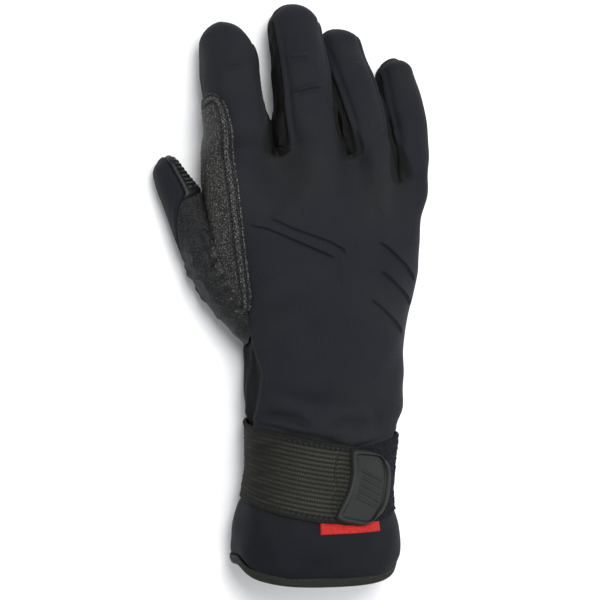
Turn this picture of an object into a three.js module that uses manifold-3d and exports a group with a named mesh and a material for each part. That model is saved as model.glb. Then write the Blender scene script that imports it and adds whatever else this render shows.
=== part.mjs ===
// Water rescue glove for the right hand, lying palm down. Lengths are in millimetres.
// x runs to the little finger, y to the fingertips and z out of the back of the hand.
// The tables measure y from the hem. The whole group is then moved along y, so that the origin
// lies on the ground under the heel of the hand.
import * as THREE from 'three';
import Module from 'manifold-3d';

const wasm = await Module();
wasm.setup();

// Sizes that drive the model
const ORIGIN_FROM_HEM = 135;
const NEOPRENE = 3;
const PALM_LEATHER = 2.5;
const SIDE_CLOTH = 2;
const SEAM_INSET = 0.17;
const LAYER_GAP = 0.3;
const GUARD_THICKNESS = 1;
const BAND_THICKNESS = 1.4;
const STRAP_WIDTH = 38;
const LANDING_WIDTH = 36;
const TAB_GAP = 0.5;
const TAB_BASE = 2.4;
const TAB_RIM = 3.4;
const LABEL_THICKNESS = 0.6;
const TAPE_THICKNESS = 1;
const TAPE_WIDTH = 3.7;
const TAPE_SEAT = 0.15;
const CUFF_SEAM_Y = 57.5;
const HEM_SIDE_Y = 20;
const HEM_BACK_DROP = 15;
const HEM_PALM_DROP = 8;
const VALLEY_LENGTH = 38;
const VALLEY_DEPTH = 8;
const VALLEY_WIDTH = 0.28;
const WEB_RISE = 3;
const KNUCKLE_BLEND = 18;
const FORK_BLEND = 12;
const COLUMN_SPREAD_FROM = 100;
const COLUMN_SPREAD_OVER = 90;
const TIP_ROUNDING = 0.9;
const SLAB_ROOT = 2;

// How finely the sewn skin is divided
const DIVISION_COLUMNS = 4;
const CUFF_ROWS = 5;
const HAND_ROWS = 13;
const FINGER_ROWS = 10;
const DOME_ROWS = 4;
const SIDE_COLUMNS = 2;
const THUMB_ROWS = 12;
const THUMB_BACK_COLUMNS = 7;
const THUMB_FRONT_COLUMNS = 9;
const GUSSET_COLUMNS = 3;
const GUSSET_LOW = 68;
const GUSSET_HIGH = 140;

// Exponents of the rounded sections: 2 is an ellipse, more is squarer
const HAND_ROUNDNESS = 2.45;
const FINGER_ROUNDNESS = 2.2;

function table(names, rows) {
  return { names: names.split(' '), rows };
}

// Cross sections of cuff, wrist and hand
const HAND = table('y centre half low widest high', [
  [0, -1.0, 37.4, 1.2, 25, 49],
  [10, -1.0, 38.6, 1.2, 25, 50],
  [20, -1.0, 39.8, 1.2, 25, 51],
  [30, -0.6, 39.6, 1.5, 25, 50],
  [42, 0.1, 35.9, 3.0, 25, 47],
  [57, 1.8, 34.8, 4.0, 25, 45],
  [76, 3.0, 35.8, 3.0, 25, 47],
  [92, 3.5, 37.6, 0.0, 25, 50],
  [114, 3.6, 38.8, -1.5, 25, 51],
  [128, 3.2, 40.8, -1.5, 25, 51],
  [139, 2.0, 44.0, -1.5, 25, 51],
  [150, 0.6, 48.0, -1.5, 25, 50],
  [162, -0.9, 50.7, -1.0, 26, 49.5],
  [176, -0.8, 52.8, 0.5, 26, 49],
  [190, 0.5, 54.7, 3.0, 26, 48],
  [206, 0.7, 54.9, 5.0, 26, 46],
]);

// Angle in degrees at which each finger division meets the section, at the wrist and at the crotch
const BACK_ANGLES = table('division wrist crotch', [
  [0, 180, 180],
  [1, 123, 112.9],
  [2, 72, 81.7],
  [3, 21, 51.5],
  [4, -30, -30],
]);
const PALM_ANGLES = table('division wrist crotch', [
  [0, 180, 180],
  [1, 213, 247.1],
  [2, 252, 278.3],
  [3, 291, 308.5],
  [4, 330, 330],
]);

// How far above the widest line the thumb-side seam of the back lies, in degrees
const THUMB_SIDE_SEAM = table('y above', [
  [0, 4],
  [57, 4],
  [76, 6],
  [81, 9],
  [87, 15],
  [95, 22],
  [102.5, 25.5],
  [110, 21],
  [119, 14],
  [130, 5],
  [140, 8],
  [206, 10],
]);

// Height of the line through the crotches, on the back and on the palm
const CROTCH_LINE = table('division back palm', [
  [0, 200, 200],
  [1, 205, 209],
  [2, 205, 210],
  [3, 193, 199],
  [4, 186, 186],
]);

// Each finger's centre line with its half width and half thickness
const FINGER_COLUMNS = 'along x y z half thick';
const INDEX = pathTable([
  [-38.5, 201, 27.5, 15.0, 14.5],
  [-41.5, 222, 29, 13.7, 13.5],
  [-42.6, 240, 25.5, 13.7, 13],
  [-42.0, 255, 18.5, 13.2, 12],
  [-41.5, 266, 13, 11.6, 10.5],
]);
const MIDDLE = pathTable([
  [-5, 203, 29.5, 16, 15],
  [-8.5, 225, 32, 13.8, 13.5],
  [-9.6, 245, 28, 12.9, 12.7],
  [-9, 262, 19.5, 12.4, 11.5],
  [-7.8, 274.5, 13, 11, 10.5],
]);
const RING = pathTable([
  [24.0, 200, 28, 11.9, 14],
  [20.2, 222, 29, 11.5, 12.5],
  [16.8, 240, 24.5, 11.4, 12],
  [14.8, 254, 17, 10.8, 11],
  [12.6, 264.8, 13, 9.3, 9.8],
]);
const LITTLE = pathTable([
  [46.9, 187, 24.5, 10.1, 12.5],
  [46.0, 207, 26, 9.7, 11.5],
  [45.0, 224, 22, 10.0, 11],
  [44.7, 239, 16, 9.5, 10],
  [44.2, 252, 11.5, 7.8, 8.5],
]);
const FINGERS = [INDEX, MIDDLE, RING, LITTLE];
const THUMB = pathTable([
  [-21, 116, 22, 10, 13],
  [-31, 132, 20, 13.2, 14.5],
  [-42.0, 147, 18, 13.5, 14.5],
  [-50.8, 166, 16, 12.5, 13.3],
  [-58.8, 182, 14, 10.7, 11.8],
  [-64.7, 194, 12.5, 9.0, 10.4],
  [-69.2, 204.5, 10.8, 7.2, 8.8],
]);

// Half the angle that a side strip between two fingers takes, by share of the finger's length
const SIDE_STRIP = table('share angle', [
  [0, 34],
  [0.3, 28],
  [0.6, 20],
  [0.82, 12],
]);
const SIDE_STRIP_END = 0.84;
const OUTER_SEAM_ANGLES = { index: 170, little: -30 };

// Seam between the smooth thumb back and its grip side, by the distance along the thumb
const THUMB_SEAM = table('along angle', [
  [0, 190],
  [40, 187],
  [52, 160],
  [66, 144],
  [74, 130],
  [84, 97],
  [102, 107],
]);
const THUMB_PALM_SEAM_ANGLE = 250;
const THUMB_PAD_FROM_ROW = 10;

// Reach of the guard from the thumb-side seam, in finger divisions
const GUARD_REACH = table('y back palm', [
  [130, 0.12, 0.1],
  [132.5, 0.32, 0.2],
  [136, 0.41, 0.27],
  [142, 0.48, 0.34],
  [151, 0.55, 0.38],
  [166, 0.58, 0.4],
  [184, 0.54, 0.4],
  [203, 0.47, 0.38],
  [214, 0.42, 0.36],
  [223, 0.375, 0.34],
  [229, 0.3, 0.3],
  [232, 0.16, 0.2],
]);

// Middle line of the strap and of the landing round the wrist
const STRAP_LINE = table('angle y', [
  [76, 50.2],
  [99, 53],
  [130, 56.8],
  [180, 62.8],
  [210, 64.5],
  [250, 64],
  [299.6, 60.5],
]);
const LANDING_LINE = table('angle y', [
  [-60, 60.5],
  [-30, 59],
  [10, 57],
  [40, 54],
  [66, 51.4],
  [75.3, 50.2],
]);

// Outline of the pull tab, from its lower edge to its upper edge
const TAB_SIDES = table('share leftAngle leftY rightAngle rightY', [
  [0, 89.5, 34.5, 71, 31],
  [0.18, 86, 40, 55, 37.5],
  [0.42, 82.7, 48.4, 46, 46],
  [0.65, 81.7, 56.7, 44.5, 54.5],
  [0.85, 83, 63.4, 49, 61.5],
  [1, 84, 67.6, 61, 66.5],
]);

// Label on the cuff, whose upper edge stays below the strap and the landing
const LABEL_EDGES = table('angle low high', [
  [57.5, 28.2, 32.2],
  [66, 28, 32],
  [80, 27.6, 31],
  [96.5, 27.3, 32.4],
]);

function pathTable(rows) {
  let along = 0;
  const keyed = rows.map((row, i) => {
    if (i > 0) {
      const [x, y, z] = rows[i - 1];
      along += Math.hypot(row[0] - x, row[1] - y, row[2] - z);
    }
    return [along, ...row];
  });
  return table(FINGER_COLUMNS, keyed);
}

// Cubic curve through the rows of a table, with the slope at a row taken from its neighbours
function at(tab, key) {
  const { names, rows } = tab;
  const last = rows.length - 1;
  let i = 0;
  while (i < last - 1 && key >= rows[i + 1][0]) {
    i += 1;
  }
  const slope = (k, c) => {
    const before = rows[Math.max(k - 1, 0)];
    const after = rows[Math.min(k + 1, last)];
    return (after[c] - before[c]) / (after[0] - before[0]);
  };
  const step = rows[i + 1][0] - rows[i][0];
  const q = THREE.MathUtils.clamp((key - rows[i][0]) / step, 0, 1);
  const values = {};
  for (let c = 1; c < names.length; c += 1) {
    values[names[c]] = (2 * q ** 3 - 3 * q ** 2 + 1) * rows[i][c]
      + (q ** 3 - 2 * q ** 2 + q) * step * slope(i, c)
      + (3 * q ** 2 - 2 * q ** 3) * rows[i + 1][c]
      + (q ** 3 - q ** 2) * step * slope(i + 1, c);
  }
  return values;
}

function smooth(value) {
  const q = THREE.MathUtils.clamp(value, 0, 1);
  return q * q * (3 - 2 * q);
}

function rounded(value, exponent) {
  return Math.sign(value) * Math.abs(value) ** (2 / exponent);
}

const { degToRad, lerp } = THREE.MathUtils;

// A point on the section of the hand at height y, never below the ground
function handPoint(degrees, y) {
  const section = at(HAND, y);
  const side = rounded(Math.cos(degToRad(degrees)), HAND_ROUNDNESS);
  const rise = rounded(Math.sin(degToRad(degrees)), HAND_ROUNDNESS);
  const reach = rise > 0 ? section.high - section.widest : section.widest - section.low;
  const z = section.widest + reach * rise;
  return new THREE.Vector3(section.centre + section.half * side, y, Math.max(z, 0));
}

// Angle of a column of the skin. Division 0 is the thumb-side seam and 4 the little-finger seam
function columnAngle(angles, division, y) {
  const { wrist, crotch } = at(angles, division);
  const angle = lerp(wrist, crotch, smooth((y - COLUMN_SPREAD_FROM) / COLUMN_SPREAD_OVER));
  const nearSeam = Math.max(0, 1 - division) ** 2;
  return angle - at(THUMB_SIDE_SEAM, y).above * nearSeam;
}

function crotchY(division, side) {
  const line = at(CROTCH_LINE, division);
  return side > 0 ? line.back : line.palm;
}

// The valleys that run from the crotches between the finger roots
function valley(division, y, side) {
  const start = crotchY(division, side) - VALLEY_LENGTH;
  const depth = VALLEY_DEPTH * smooth((y - start) / VALLEY_LENGTH) ** 1.5;
  let share = 0;
  for (const crotch of [1, 2, 3]) {
    share += Math.exp(-(((division - crotch) / VALLEY_WIDTH) ** 2));
  }
  return depth * share;
}

// The skin of the hand between the hem and the crotches. Side is 1 for the back, -1 for the palm
function skinPoint(division, y, side) {
  const angles = side > 0 ? BACK_ANGLES : PALM_ANGLES;
  const point = handPoint(columnAngle(angles, division, y), y);
  point.z = Math.max(point.z - side * valley(division, y, side), 0);
  return point;
}

// The arc of a web between two fingers, from the crotch on the back to the crotch on the palm
function webPoint(division, share) {
  const back = skinPoint(division, crotchY(division, 1), 1);
  const palm = skinPoint(division, crotchY(division, -1), -1);
  const point = back.lerp(palm, share);
  point.y += WEB_RISE * Math.sin(Math.PI * share);
  return point;
}

function frameAt(path, along) {
  const length = path.rows.at(-1)[0];
  const here = at(path, Math.min(along, length));
  const ahead = at(path, Math.min(along + 0.5, length));
  const behind = at(path, Math.max(Math.min(along, length) - 0.5, 0));
  const tangent = new THREE.Vector3(ahead.x - behind.x, ahead.y - behind.y, ahead.z - behind.z);
  tangent.normalize();
  const across = new THREE.Vector3().crossVectors(tangent, new THREE.Vector3(0, 0, 1)).normalize();
  const up = new THREE.Vector3().crossVectors(across, tangent);
  return { here, across, up };
}

// A point on a finger's rounded tube. Dome is 1 on the tube and falls to 0 at the tip
function tubePoint(path, along, degrees, dome, extra = 0) {
  const { here, across, up } = frameAt(path, along);
  const side = rounded(Math.cos(degToRad(degrees)), FINGER_ROUNDNESS);
  const rise = rounded(Math.sin(degToRad(degrees)), FINGER_ROUNDNESS);
  const point = new THREE.Vector3(here.x, here.y, here.z);
  point.addScaledVector(across, (here.half * dome + extra) * side);
  point.addScaledVector(up, (here.thick * dome + extra) * rise);
  point.z = Math.max(point.z, 0);
  return point;
}

// Distances along a finger of its rows, with the rows of the dome closing on the tip
function fingerRows(path, count) {
  const length = path.rows.at(-1)[0];
  const radius = TIP_ROUNDING * path.rows.at(-1)[4];
  const rows = [];
  for (let i = 1; i < count; i += 1) {
    rows.push({ along: (length - radius) * (i / count), dome: 1 });
  }
  for (let i = 0; i <= DOME_ROWS; i += 1) {
    const share = Math.sin((Math.PI / 2) * (i / DOME_ROWS));
    rows.push({ along: length - radius + radius * share, dome: Math.sqrt(Math.max(0, 1 - share ** 2)) });
  }
  return rows;
}

// Blend of the hand's skin into the finger's tube: slow over the knuckle, quick beside a web
function fingerPoint(path, base, along, degrees, dome, web) {
  const start = path.rows[0];
  const centre = at(path, Math.min(along, path.rows.at(-1)[0]));
  const carried = base.clone();
  carried.x += centre.x - start[1];
  carried.y += centre.y - start[2];
  carried.z = Math.max(carried.z + centre.z - start[3], 0);
  const knuckle = smooth(along / KNUCKLE_BLEND);
  const fork = 1 - (1 - Math.min(along / FORK_BLEND, 1)) ** 2;
  return carried.lerp(tubePoint(path, along, degrees, dome), lerp(knuckle, fork, web));
}

function sideStripAngle(path, along) {
  const share = along / path.rows.at(-1)[0];
  return share > SIDE_STRIP_END ? 0 : at(SIDE_STRIP, share).angle;
}

// One finger's columns, once round: back, little-finger side, palm and thumb side
function fingerColumns(number) {
  const columns = [];
  const first = number === 0;
  const last = number === 3;
  for (let i = 0; i <= DIVISION_COLUMNS; i += 1) {
    const q = i / DIVISION_COLUMNS;
    const web = Math.max(first ? 0 : (1 - q) ** 2, last ? 0 : q ** 2);
    columns.push({ part: 'back', q, web, base: skinPoint(number + q, crotchY(number + q, 1), 1) });
  }
  for (let i = 1; !last && i <= SIDE_COLUMNS; i += 1) {
    const q = i / SIDE_COLUMNS;
    columns.push({ part: 'farSide', q, web: 1, base: webPoint(number + 1, q) });
  }
  for (let i = 1; i <= DIVISION_COLUMNS; i += 1) {
    const q = 1 - i / DIVISION_COLUMNS;
    const web = Math.max(first ? 0 : (1 - q) ** 2, last ? 0 : q ** 2);
    columns.push({ part: 'palm', q, web, base: skinPoint(number + q, crotchY(number + q, -1), -1) });
  }
  for (let i = 1; !first && i <= SIDE_COLUMNS; i += 1) {
    const q = 1 - i / SIDE_COLUMNS;
    columns.push({ part: 'nearSide', q, web: 1, base: webPoint(number, q) });
  }
  return columns;
}

function columnDegrees(column, number, strip) {
  const near = number === 0 ? OUTER_SEAM_ANGLES.index : 180 - strip;
  const nearPalm = number === 0 ? OUTER_SEAM_ANGLES.index : 180 + strip;
  const far = number === 3 ? OUTER_SEAM_ANGLES.little : strip;
  const farPalm = number === 3 ? OUTER_SEAM_ANGLES.little : -strip;
  if (column.part === 'back') {
    return lerp(near, far, column.q);
  }
  if (column.part === 'farSide') {
    return lerp(far, farPalm, column.q);
  }
  if (column.part === 'palm') {
    return lerp(nearPalm - 360, farPalm, column.q);
  }
  return lerp(near, nearPalm, column.q);
}

// A skin collects faces with the name of the piece that they belong to
function newSkin() {
  return { points: [], found: new Map(), faces: [] };
}

function vertex(skin, point) {
  const key = point.toArray().map((v) => Math.round(v * 1000)).join(' ');
  if (!skin.found.has(key)) {
    skin.found.set(key, skin.points.length);
    skin.points.push(point.clone());
  }
  return skin.found.get(key);
}

function addFace(skin, corners, piece) {
  const [a, b, c] = corners;
  if (a !== b && b !== c && c !== a) {
    skin.faces.push({ corners, piece });
  }
}

// Grid rows run away from the hem and columns run clockwise seen from the fingertips
function addGrid(skin, grid, pieceOf) {
  for (let r = 0; r + 1 < grid.length; r += 1) {
    for (let c = 0; c + 1 < grid[r].length; c += 1) {
      const a = vertex(skin, grid[r][c]);
      const b = vertex(skin, grid[r][c + 1]);
      const d = vertex(skin, grid[r + 1][c + 1]);
      const e = vertex(skin, grid[r + 1][c]);
      addFace(skin, [a, b, d], pieceOf(r, c));
      addFace(skin, [a, d, e], pieceOf(r, c));
    }
  }
}

function faceNormal(skin, corners) {
  const [a, b, c] = corners.map((i) => skin.points[i]);
  return new THREE.Vector3().crossVectors(b.clone().sub(a), c.clone().sub(a));
}

function vertexNormals(skin) {
  const normals = skin.points.map(() => new THREE.Vector3());
  for (const { corners } of skin.faces) {
    const normal = faceNormal(skin, corners);
    corners.forEach((i) => normals[i].add(normal));
  }
  return normals.map((normal) => normal.normalize());
}

// Directed edges that only one face of the set uses
function openEdges(faces) {
  const used = new Set();
  faces.forEach(({ corners: [a, b, c] }) => {
    used.add(`${a} ${b}`);
    used.add(`${b} ${c}`);
    used.add(`${c} ${a}`);
  });
  const edges = [];
  faces.forEach((face) => {
    const [a, b, c] = face.corners;
    for (const [from, to] of [[a, b], [b, c], [c, a]]) {
      if (!used.has(`${to} ${from}`)) {
        edges.push({ from, to, face });
      }
    }
  });
  return edges;
}

// Sideways moves that draw the rim of a piece in from its seam lines
function rimMoves(skin, edges, inset) {
  const inward = new Map();
  for (const { from, to, face } of edges) {
    const along = skin.points[to].clone().sub(skin.points[from]);
    const move = faceNormal(skin, face.corners).cross(along).normalize();
    for (const end of [from, to]) {
      inward.set(end, [...(inward.get(end) ?? []), move]);
    }
  }
  const moves = new Map();
  for (const [end, [one, other]] of inward) {
    const spread = Math.max(1 + one.dot(other), 0.25);
    moves.set(end, one.clone().add(other).multiplyScalar(inset / spread));
  }
  return moves;
}

function solidOf(points, triangles) {
  const mesh = new wasm.Mesh({
    numProp: 3,
    vertProperties: new Float32Array(points.flatMap((p) => p.toArray())),
    triVerts: new Uint32Array(triangles.flat()),
  });
  return new wasm.Manifold(mesh);
}

// The wall of one piece: the outer faces, the same faces moved in, and a rim between them. Both
// pieces at a seam split the rim's four-sided faces along the same diagonal
function wallSolid(skin, normals, piece, wall) {
  const faces = skin.faces.filter((face) => face.piece === piece);
  const edges = openEdges(faces);
  const moves = rimMoves(skin, edges, SEAM_INSET);
  const points = [];
  const outer = new Map();
  const place = (i) => {
    if (!outer.has(i)) {
      const rim = skin.points[i].clone().add(moves.get(i) ?? new THREE.Vector3());
      outer.set(i, points.length);
      points.push(rim, rim.clone().addScaledVector(normals[i], -wall));
    }
    return outer.get(i);
  };
  const triangles = [];
  for (const { corners } of faces) {
    const [a, b, c] = corners.map(place);
    triangles.push([a, b, c], [a + 1, c + 1, b + 1]);
  }
  for (const { from, to } of edges) {
    const a = place(from);
    const b = place(to);
    if (from < to) {
      triangles.push([b, a, a + 1], [b, a + 1, b + 1]);
    } else {
      triangles.push([b, a, b + 1], [a, a + 1, b + 1]);
    }
  }
  return solidOf(points, triangles);
}

// The whole skin moved out by a distance and closed across its open end
function filledSolid(skin, normals, distance) {
  const points = skin.points.map((p, i) => p.clone().addScaledVector(normals[i], distance));
  const triangles = skin.faces.map(({ corners }) => corners);
  const edges = openEdges(skin.faces);
  const centre = new THREE.Vector3();
  edges.forEach(({ from }) => centre.addScaledVector(points[from], 1 / edges.length));
  points.push(centre);
  edges.forEach(({ from, to }) => triangles.push([to, from, points.length - 1]));
  return solidOf(points, triangles);
}

// A slab over a grid of surface points, between two distances above the surface
function slabSolid(pointAt, rows, columns, low, high) {
  const points = [];
  const step = 0.002;
  for (let r = 0; r <= rows; r += 1) {
    for (let c = 0; c <= columns; c += 1) {
      const u = r / rows;
      const v = c / columns;
      const here = pointAt(u, v);
      const onward = pointAt(u + step, v).sub(pointAt(u - step, v));
      const across = pointAt(u, v + step).sub(pointAt(u, v - step));
      const normal = across.cross(onward).normalize();
      points.push(here.clone().addScaledVector(normal, high(u, v)));
      points.push(here.clone().addScaledVector(normal, low));
    }
  }
  const id = (r, c) => 2 * (r * (columns + 1) + c);
  const triangles = [];
  const rim = (a, b) => triangles.push([b, a, a + 1], [b, a + 1, b + 1]);
  for (let r = 0; r < rows; r += 1) {
    for (let c = 0; c < columns; c += 1) {
      const [a, b, d, e] = [id(r, c), id(r, c + 1), id(r + 1, c + 1), id(r + 1, c)];
      triangles.push([a, b, d], [a, d, e], [a + 1, d + 1, b + 1], [a + 1, e + 1, d + 1]);
    }
  }
  for (let c = 0; c < columns; c += 1) {
    rim(id(0, c), id(0, c + 1));
    rim(id(rows, c + 1), id(rows, c));
  }
  for (let r = 0; r < rows; r += 1) {
    rim(id(r + 1, 0), id(r, 0));
    rim(id(r, columns), id(r + 1, columns));
  }
  return solidOf(points, triangles);
}

function largest(solid) {
  const bodies = solid.decompose();
  return bodies.reduce((best, body) => (body.volume() > best.volume() ? body : best));
}

// The sewn skin of cuff, hand and fingers
function hemY(degrees) {
  const rise = Math.sin(degToRad(degrees));
  return HEM_SIDE_Y - (rise > 0 ? HEM_BACK_DROP : -HEM_PALM_DROP) * rise;
}

function sleeveGrid() {
  const grid = [];
  const last = 8 * DIVISION_COLUMNS;
  for (let r = 0; r <= CUFF_ROWS + HAND_ROWS; r += 1) {
    const row = [];
    for (let k = 0; k <= last; k += 1) {
      const side = k <= last / 2 ? 1 : -1;
      const division = (side > 0 ? k : last - k) / DIVISION_COLUMNS;
      const angles = side > 0 ? BACK_ANGLES : PALM_ANGLES;
      let y = 0;
      if (r <= CUFF_ROWS) {
        y = lerp(hemY(columnAngle(angles, division, 0)), CUFF_SEAM_Y, r / CUFF_ROWS);
      } else {
        y = lerp(CUFF_SEAM_Y, crotchY(division, side), (r - CUFF_ROWS) / HAND_ROWS);
      }
      row.push(skinPoint(division, y, side));
    }
    grid.push(row);
  }
  return grid;
}

const SIDE_PIECES = ['fourchette_index_middle', 'fourchette_middle_ring', 'fourchette_ring_little'];

function sleevePiece(grid, r, c) {
  if (r < CUFF_ROWS) {
    return 'cuff';
  }
  if (c < 4 * DIVISION_COLUMNS) {
    return 'back_panel';
  }
  const y = (grid[r][c].y + grid[r + 1][c].y) / 2;
  const inGusset = c >= 8 * DIVISION_COLUMNS - GUSSET_COLUMNS && y > GUSSET_LOW && y < GUSSET_HIGH;
  return inGusset ? 'wrist_gusset' : 'palm_panel';
}

function handSkin() {
  const skin = newSkin();
  const sleeve = sleeveGrid();
  addGrid(skin, sleeve, (r, c) => sleevePiece(sleeve, r, c));
  FINGERS.forEach((path, number) => {
    const columns = fingerColumns(number);
    const grid = [columns.map(({ base }) => base)];
    for (const { along, dome } of fingerRows(path, FINGER_ROWS)) {
      const strip = sideStripAngle(path, along);
      grid.push(columns.map((column) => fingerPoint(
        path,
        column.base,
        along,
        columnDegrees(column, number, strip),
        dome,
        column.web,
      )));
    }
    const names = { back: 'back_panel', palm: 'palm_panel' };
    addGrid(skin, grid, (r, c) => {
      const { part } = columns[c + 1];
      return names[part] ?? SIDE_PIECES[part === 'farSide' ? number : number - 1];
    });
  });
  return skin;
}

function thumbSkin(extra) {
  const skin = newSkin();
  const rows = [{ along: 0, dome: 1 }, ...fingerRows(THUMB, THUMB_ROWS)];
  const grid = rows.map(({ along, dome }) => {
    const seam = at(THUMB_SEAM, along).angle;
    const palmSeam = THUMB_PALM_SEAM_ANGLE - 360;
    const row = [];
    for (let c = 0; c <= THUMB_FRONT_COLUMNS; c += 1) {
      row.push(lerp(seam, palmSeam, c / THUMB_FRONT_COLUMNS));
    }
    for (let c = 1; c <= THUMB_BACK_COLUMNS; c += 1) {
      row.push(lerp(palmSeam, seam - 360, c / THUMB_BACK_COLUMNS));
    }
    const spread = dome > 0 ? extra : 0;
    return row.map((degrees) => tubePoint(THUMB, along, degrees, dome, spread));
  });
  addGrid(skin, grid, (r, c) => {
    if (c >= THUMB_FRONT_COLUMNS) {
      return 'thumb_back';
    }
    return r >= THUMB_PAD_FROM_ROW ? 'thumb_pad' : 'thumb_web';
  });
  return skin;
}

const hand = handSkin();
const handNormals = vertexNormals(hand);
const coveredHand = filledSolid(hand, handNormals, LAYER_GAP);
const handHollow = filledSolid(hand, handNormals, -NEOPRENE);
const thumb = thumbSkin(0);
const thumbNormals = vertexNormals(thumb);
const widerThumb = thumbSkin(LAYER_GAP);
const thumbClearance = filledSolid(widerThumb, vertexNormals(widerThumb), 0);

function sewnPiece(name, wall) {
  const solid = wallSolid(hand, handNormals, name, wall);
  return largest(solid.subtract(thumbClearance));
}

function thumbPiece(name, wall) {
  const solid = wallSolid(thumb, thumbNormals, name, wall);
  return largest(solid.subtract(handHollow));
}

// Guard wrapped round the thumb side of the hand and the root of the index finger
function guardSurface(u, v) {
  const y = lerp(GUARD_REACH.rows[0][0], GUARD_REACH.rows.at(-1)[0], u);
  const reach = at(GUARD_REACH, y);
  const division = lerp(-reach.palm, reach.back, v);
  const side = division < 0 ? -1 : 1;
  const q = Math.abs(division);
  const top = crotchY(q, side);
  if (y <= top) {
    return skinPoint(q, y, side);
  }
  const strip = sideStripAngle(INDEX, y - top);
  const column = { part: side > 0 ? 'back' : 'palm', q };
  const degrees = columnDegrees(column, 0, strip);
  const base = skinPoint(q, top, side);
  return fingerPoint(INDEX, base, y - top, degrees, 1, q ** 2);
}

function guardSolid() {
  const slab = slabSolid(guardSurface, 20, 8, -SLAB_ROOT, () => LAYER_GAP + GUARD_THICKNESS);
  return largest(slab.subtract(coveredHand).subtract(thumbClearance));
}

// Bands round the wrist run from the first to the last angle of their middle line
function bandSurface(line, width) {
  const first = line.rows[0][0];
  const last = line.rows.at(-1)[0];
  return (u, v) => {
    const degrees = lerp(last, first, v);
    return handPoint(degrees, at(line, degrees).y + (u - 0.5) * width);
  };
}

function bandSolid(line, width, columns) {
  const slab = slabSolid(bandSurface(line, width), 3, columns, -SLAB_ROOT, () => LAYER_GAP + BAND_THICKNESS);
  return largest(slab.subtract(coveredHand));
}

// Moulded tab with a raised rim, over the end of the strap and the landing
function tabSurface(u, v) {
  const sides = at(TAB_SIDES, u);
  const degrees = lerp(sides.leftAngle, sides.rightAngle, v);
  return handPoint(degrees, lerp(sides.leftY, sides.rightY, v));
}

function tabSolid() {
  const base = LAYER_GAP + BAND_THICKNESS + TAB_GAP;
  const rows = 14;
  const columns = 10;
  const height = (u, v) => {
    const fromEdge = Math.min(u * rows, (1 - u) * rows, v * columns, (1 - v) * columns);
    return base + (fromEdge < 1.5 ? TAB_RIM : TAB_BASE);
  };
  return slabSolid(tabSurface, rows, columns, base, height);
}

function labelSurface(u, v) {
  const degrees = lerp(LABEL_EDGES.rows.at(-1)[0], LABEL_EDGES.rows[0][0], v);
  const { low, high } = at(LABEL_EDGES, degrees);
  return handPoint(degrees, lerp(low, high, u));
}

function labelSolid() {
  const slab = slabSolid(labelSurface, 1, 8, -SLAB_ROOT, () => LAYER_GAP + LABEL_THICKNESS);
  return largest(slab.subtract(coveredHand));
}

// Tape folded round the hem: out, under the edge and back up inside
function hemTapeSolid() {
  const grid = sleeveGrid();
  const count = grid[0].length - 1;
  const inside = NEOPRENE + LAYER_GAP;
  const section = [
    [LAYER_GAP, TAPE_WIDTH],
    [LAYER_GAP, -TAPE_SEAT],
    [-inside, -TAPE_SEAT],
    [-inside, TAPE_WIDTH],
    [-inside - TAPE_THICKNESS, TAPE_WIDTH],
    [-inside - TAPE_THICKNESS, -TAPE_THICKNESS],
    [LAYER_GAP + TAPE_THICKNESS, -TAPE_THICKNESS],
    [LAYER_GAP + TAPE_THICKNESS, TAPE_WIDTH],
  ];
  const points = [];
  for (let k = 0; k < count; k += 1) {
    const edge = grid[0][k];
    const upward = grid[1][k].clone().sub(edge).normalize();
    const normal = handNormals[vertex(hand, edge)];
    for (const [out, up] of section) {
      const point = edge.clone().addScaledVector(normal, out).addScaledVector(upward, up);
      point.z = Math.max(point.z, 0);
      points.push(point);
    }
  }
  const triangles = [];
  for (let k = 0; k < count; k += 1) {
    for (let s = 0; s < section.length; s += 1) {
      const next = (k + 1) % count;
      const turn = (s + 1) % section.length;
      const [a, b] = [k * section.length + s, k * section.length + turn];
      const [d, e] = [next * section.length + turn, next * section.length + s];
      triangles.push([a, d, b], [a, e, d]);
    }
  }
  return solidOf(points, triangles);
}

// Finishes: colour, roughness and metalness
const NEOPRENE_FINISH = { color: 0x26272c, roughness: 0.75, metalness: 0 };
const CUFF_FINISH = { color: 0x1e2029, roughness: 0.7, metalness: 0 };
const GRIP_FINISH = { color: 0x35363a, roughness: 0.85, metalness: 0 };
const RIB_FINISH = { color: 0x2b2c2c, roughness: 0.6, metalness: 0 };
const SIDE_FINISH = { color: 0x17181a, roughness: 0.5, metalness: 0 };
const ELASTIC_FINISH = { color: 0x2a2b24, roughness: 0.9, metalness: 0 };
const LOOP_FINISH = { color: 0x1c1d22, roughness: 0.95, metalness: 0 };
const TAPE_FINISH = { color: 0x24251f, roughness: 0.8, metalness: 0 };
const RUBBER_FINISH = { color: 0x383a3a, roughness: 0.5, metalness: 0 };
const LABEL_FINISH = { color: 0xb5201c, roughness: 0.7, metalness: 0 };

const group = new THREE.Group();
group.position.y = -ORIGIN_FROM_HEM;

function add(name, solid, finish) {
  const { numProp, vertProperties, triVerts } = solid.getMesh();
  const geometry = new THREE.BufferGeometry();
  const positions = new THREE.BufferAttribute(new Float32Array(vertProperties), numProp);
  geometry.setAttribute('position', positions);
  geometry.setIndex(new THREE.BufferAttribute(new Uint32Array(triVerts), 1));
  geometry.computeVertexNormals();
  const mesh = new THREE.Mesh(geometry, new THREE.MeshStandardMaterial(finish));
  mesh.name = name;
  group.add(mesh);
}

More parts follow.
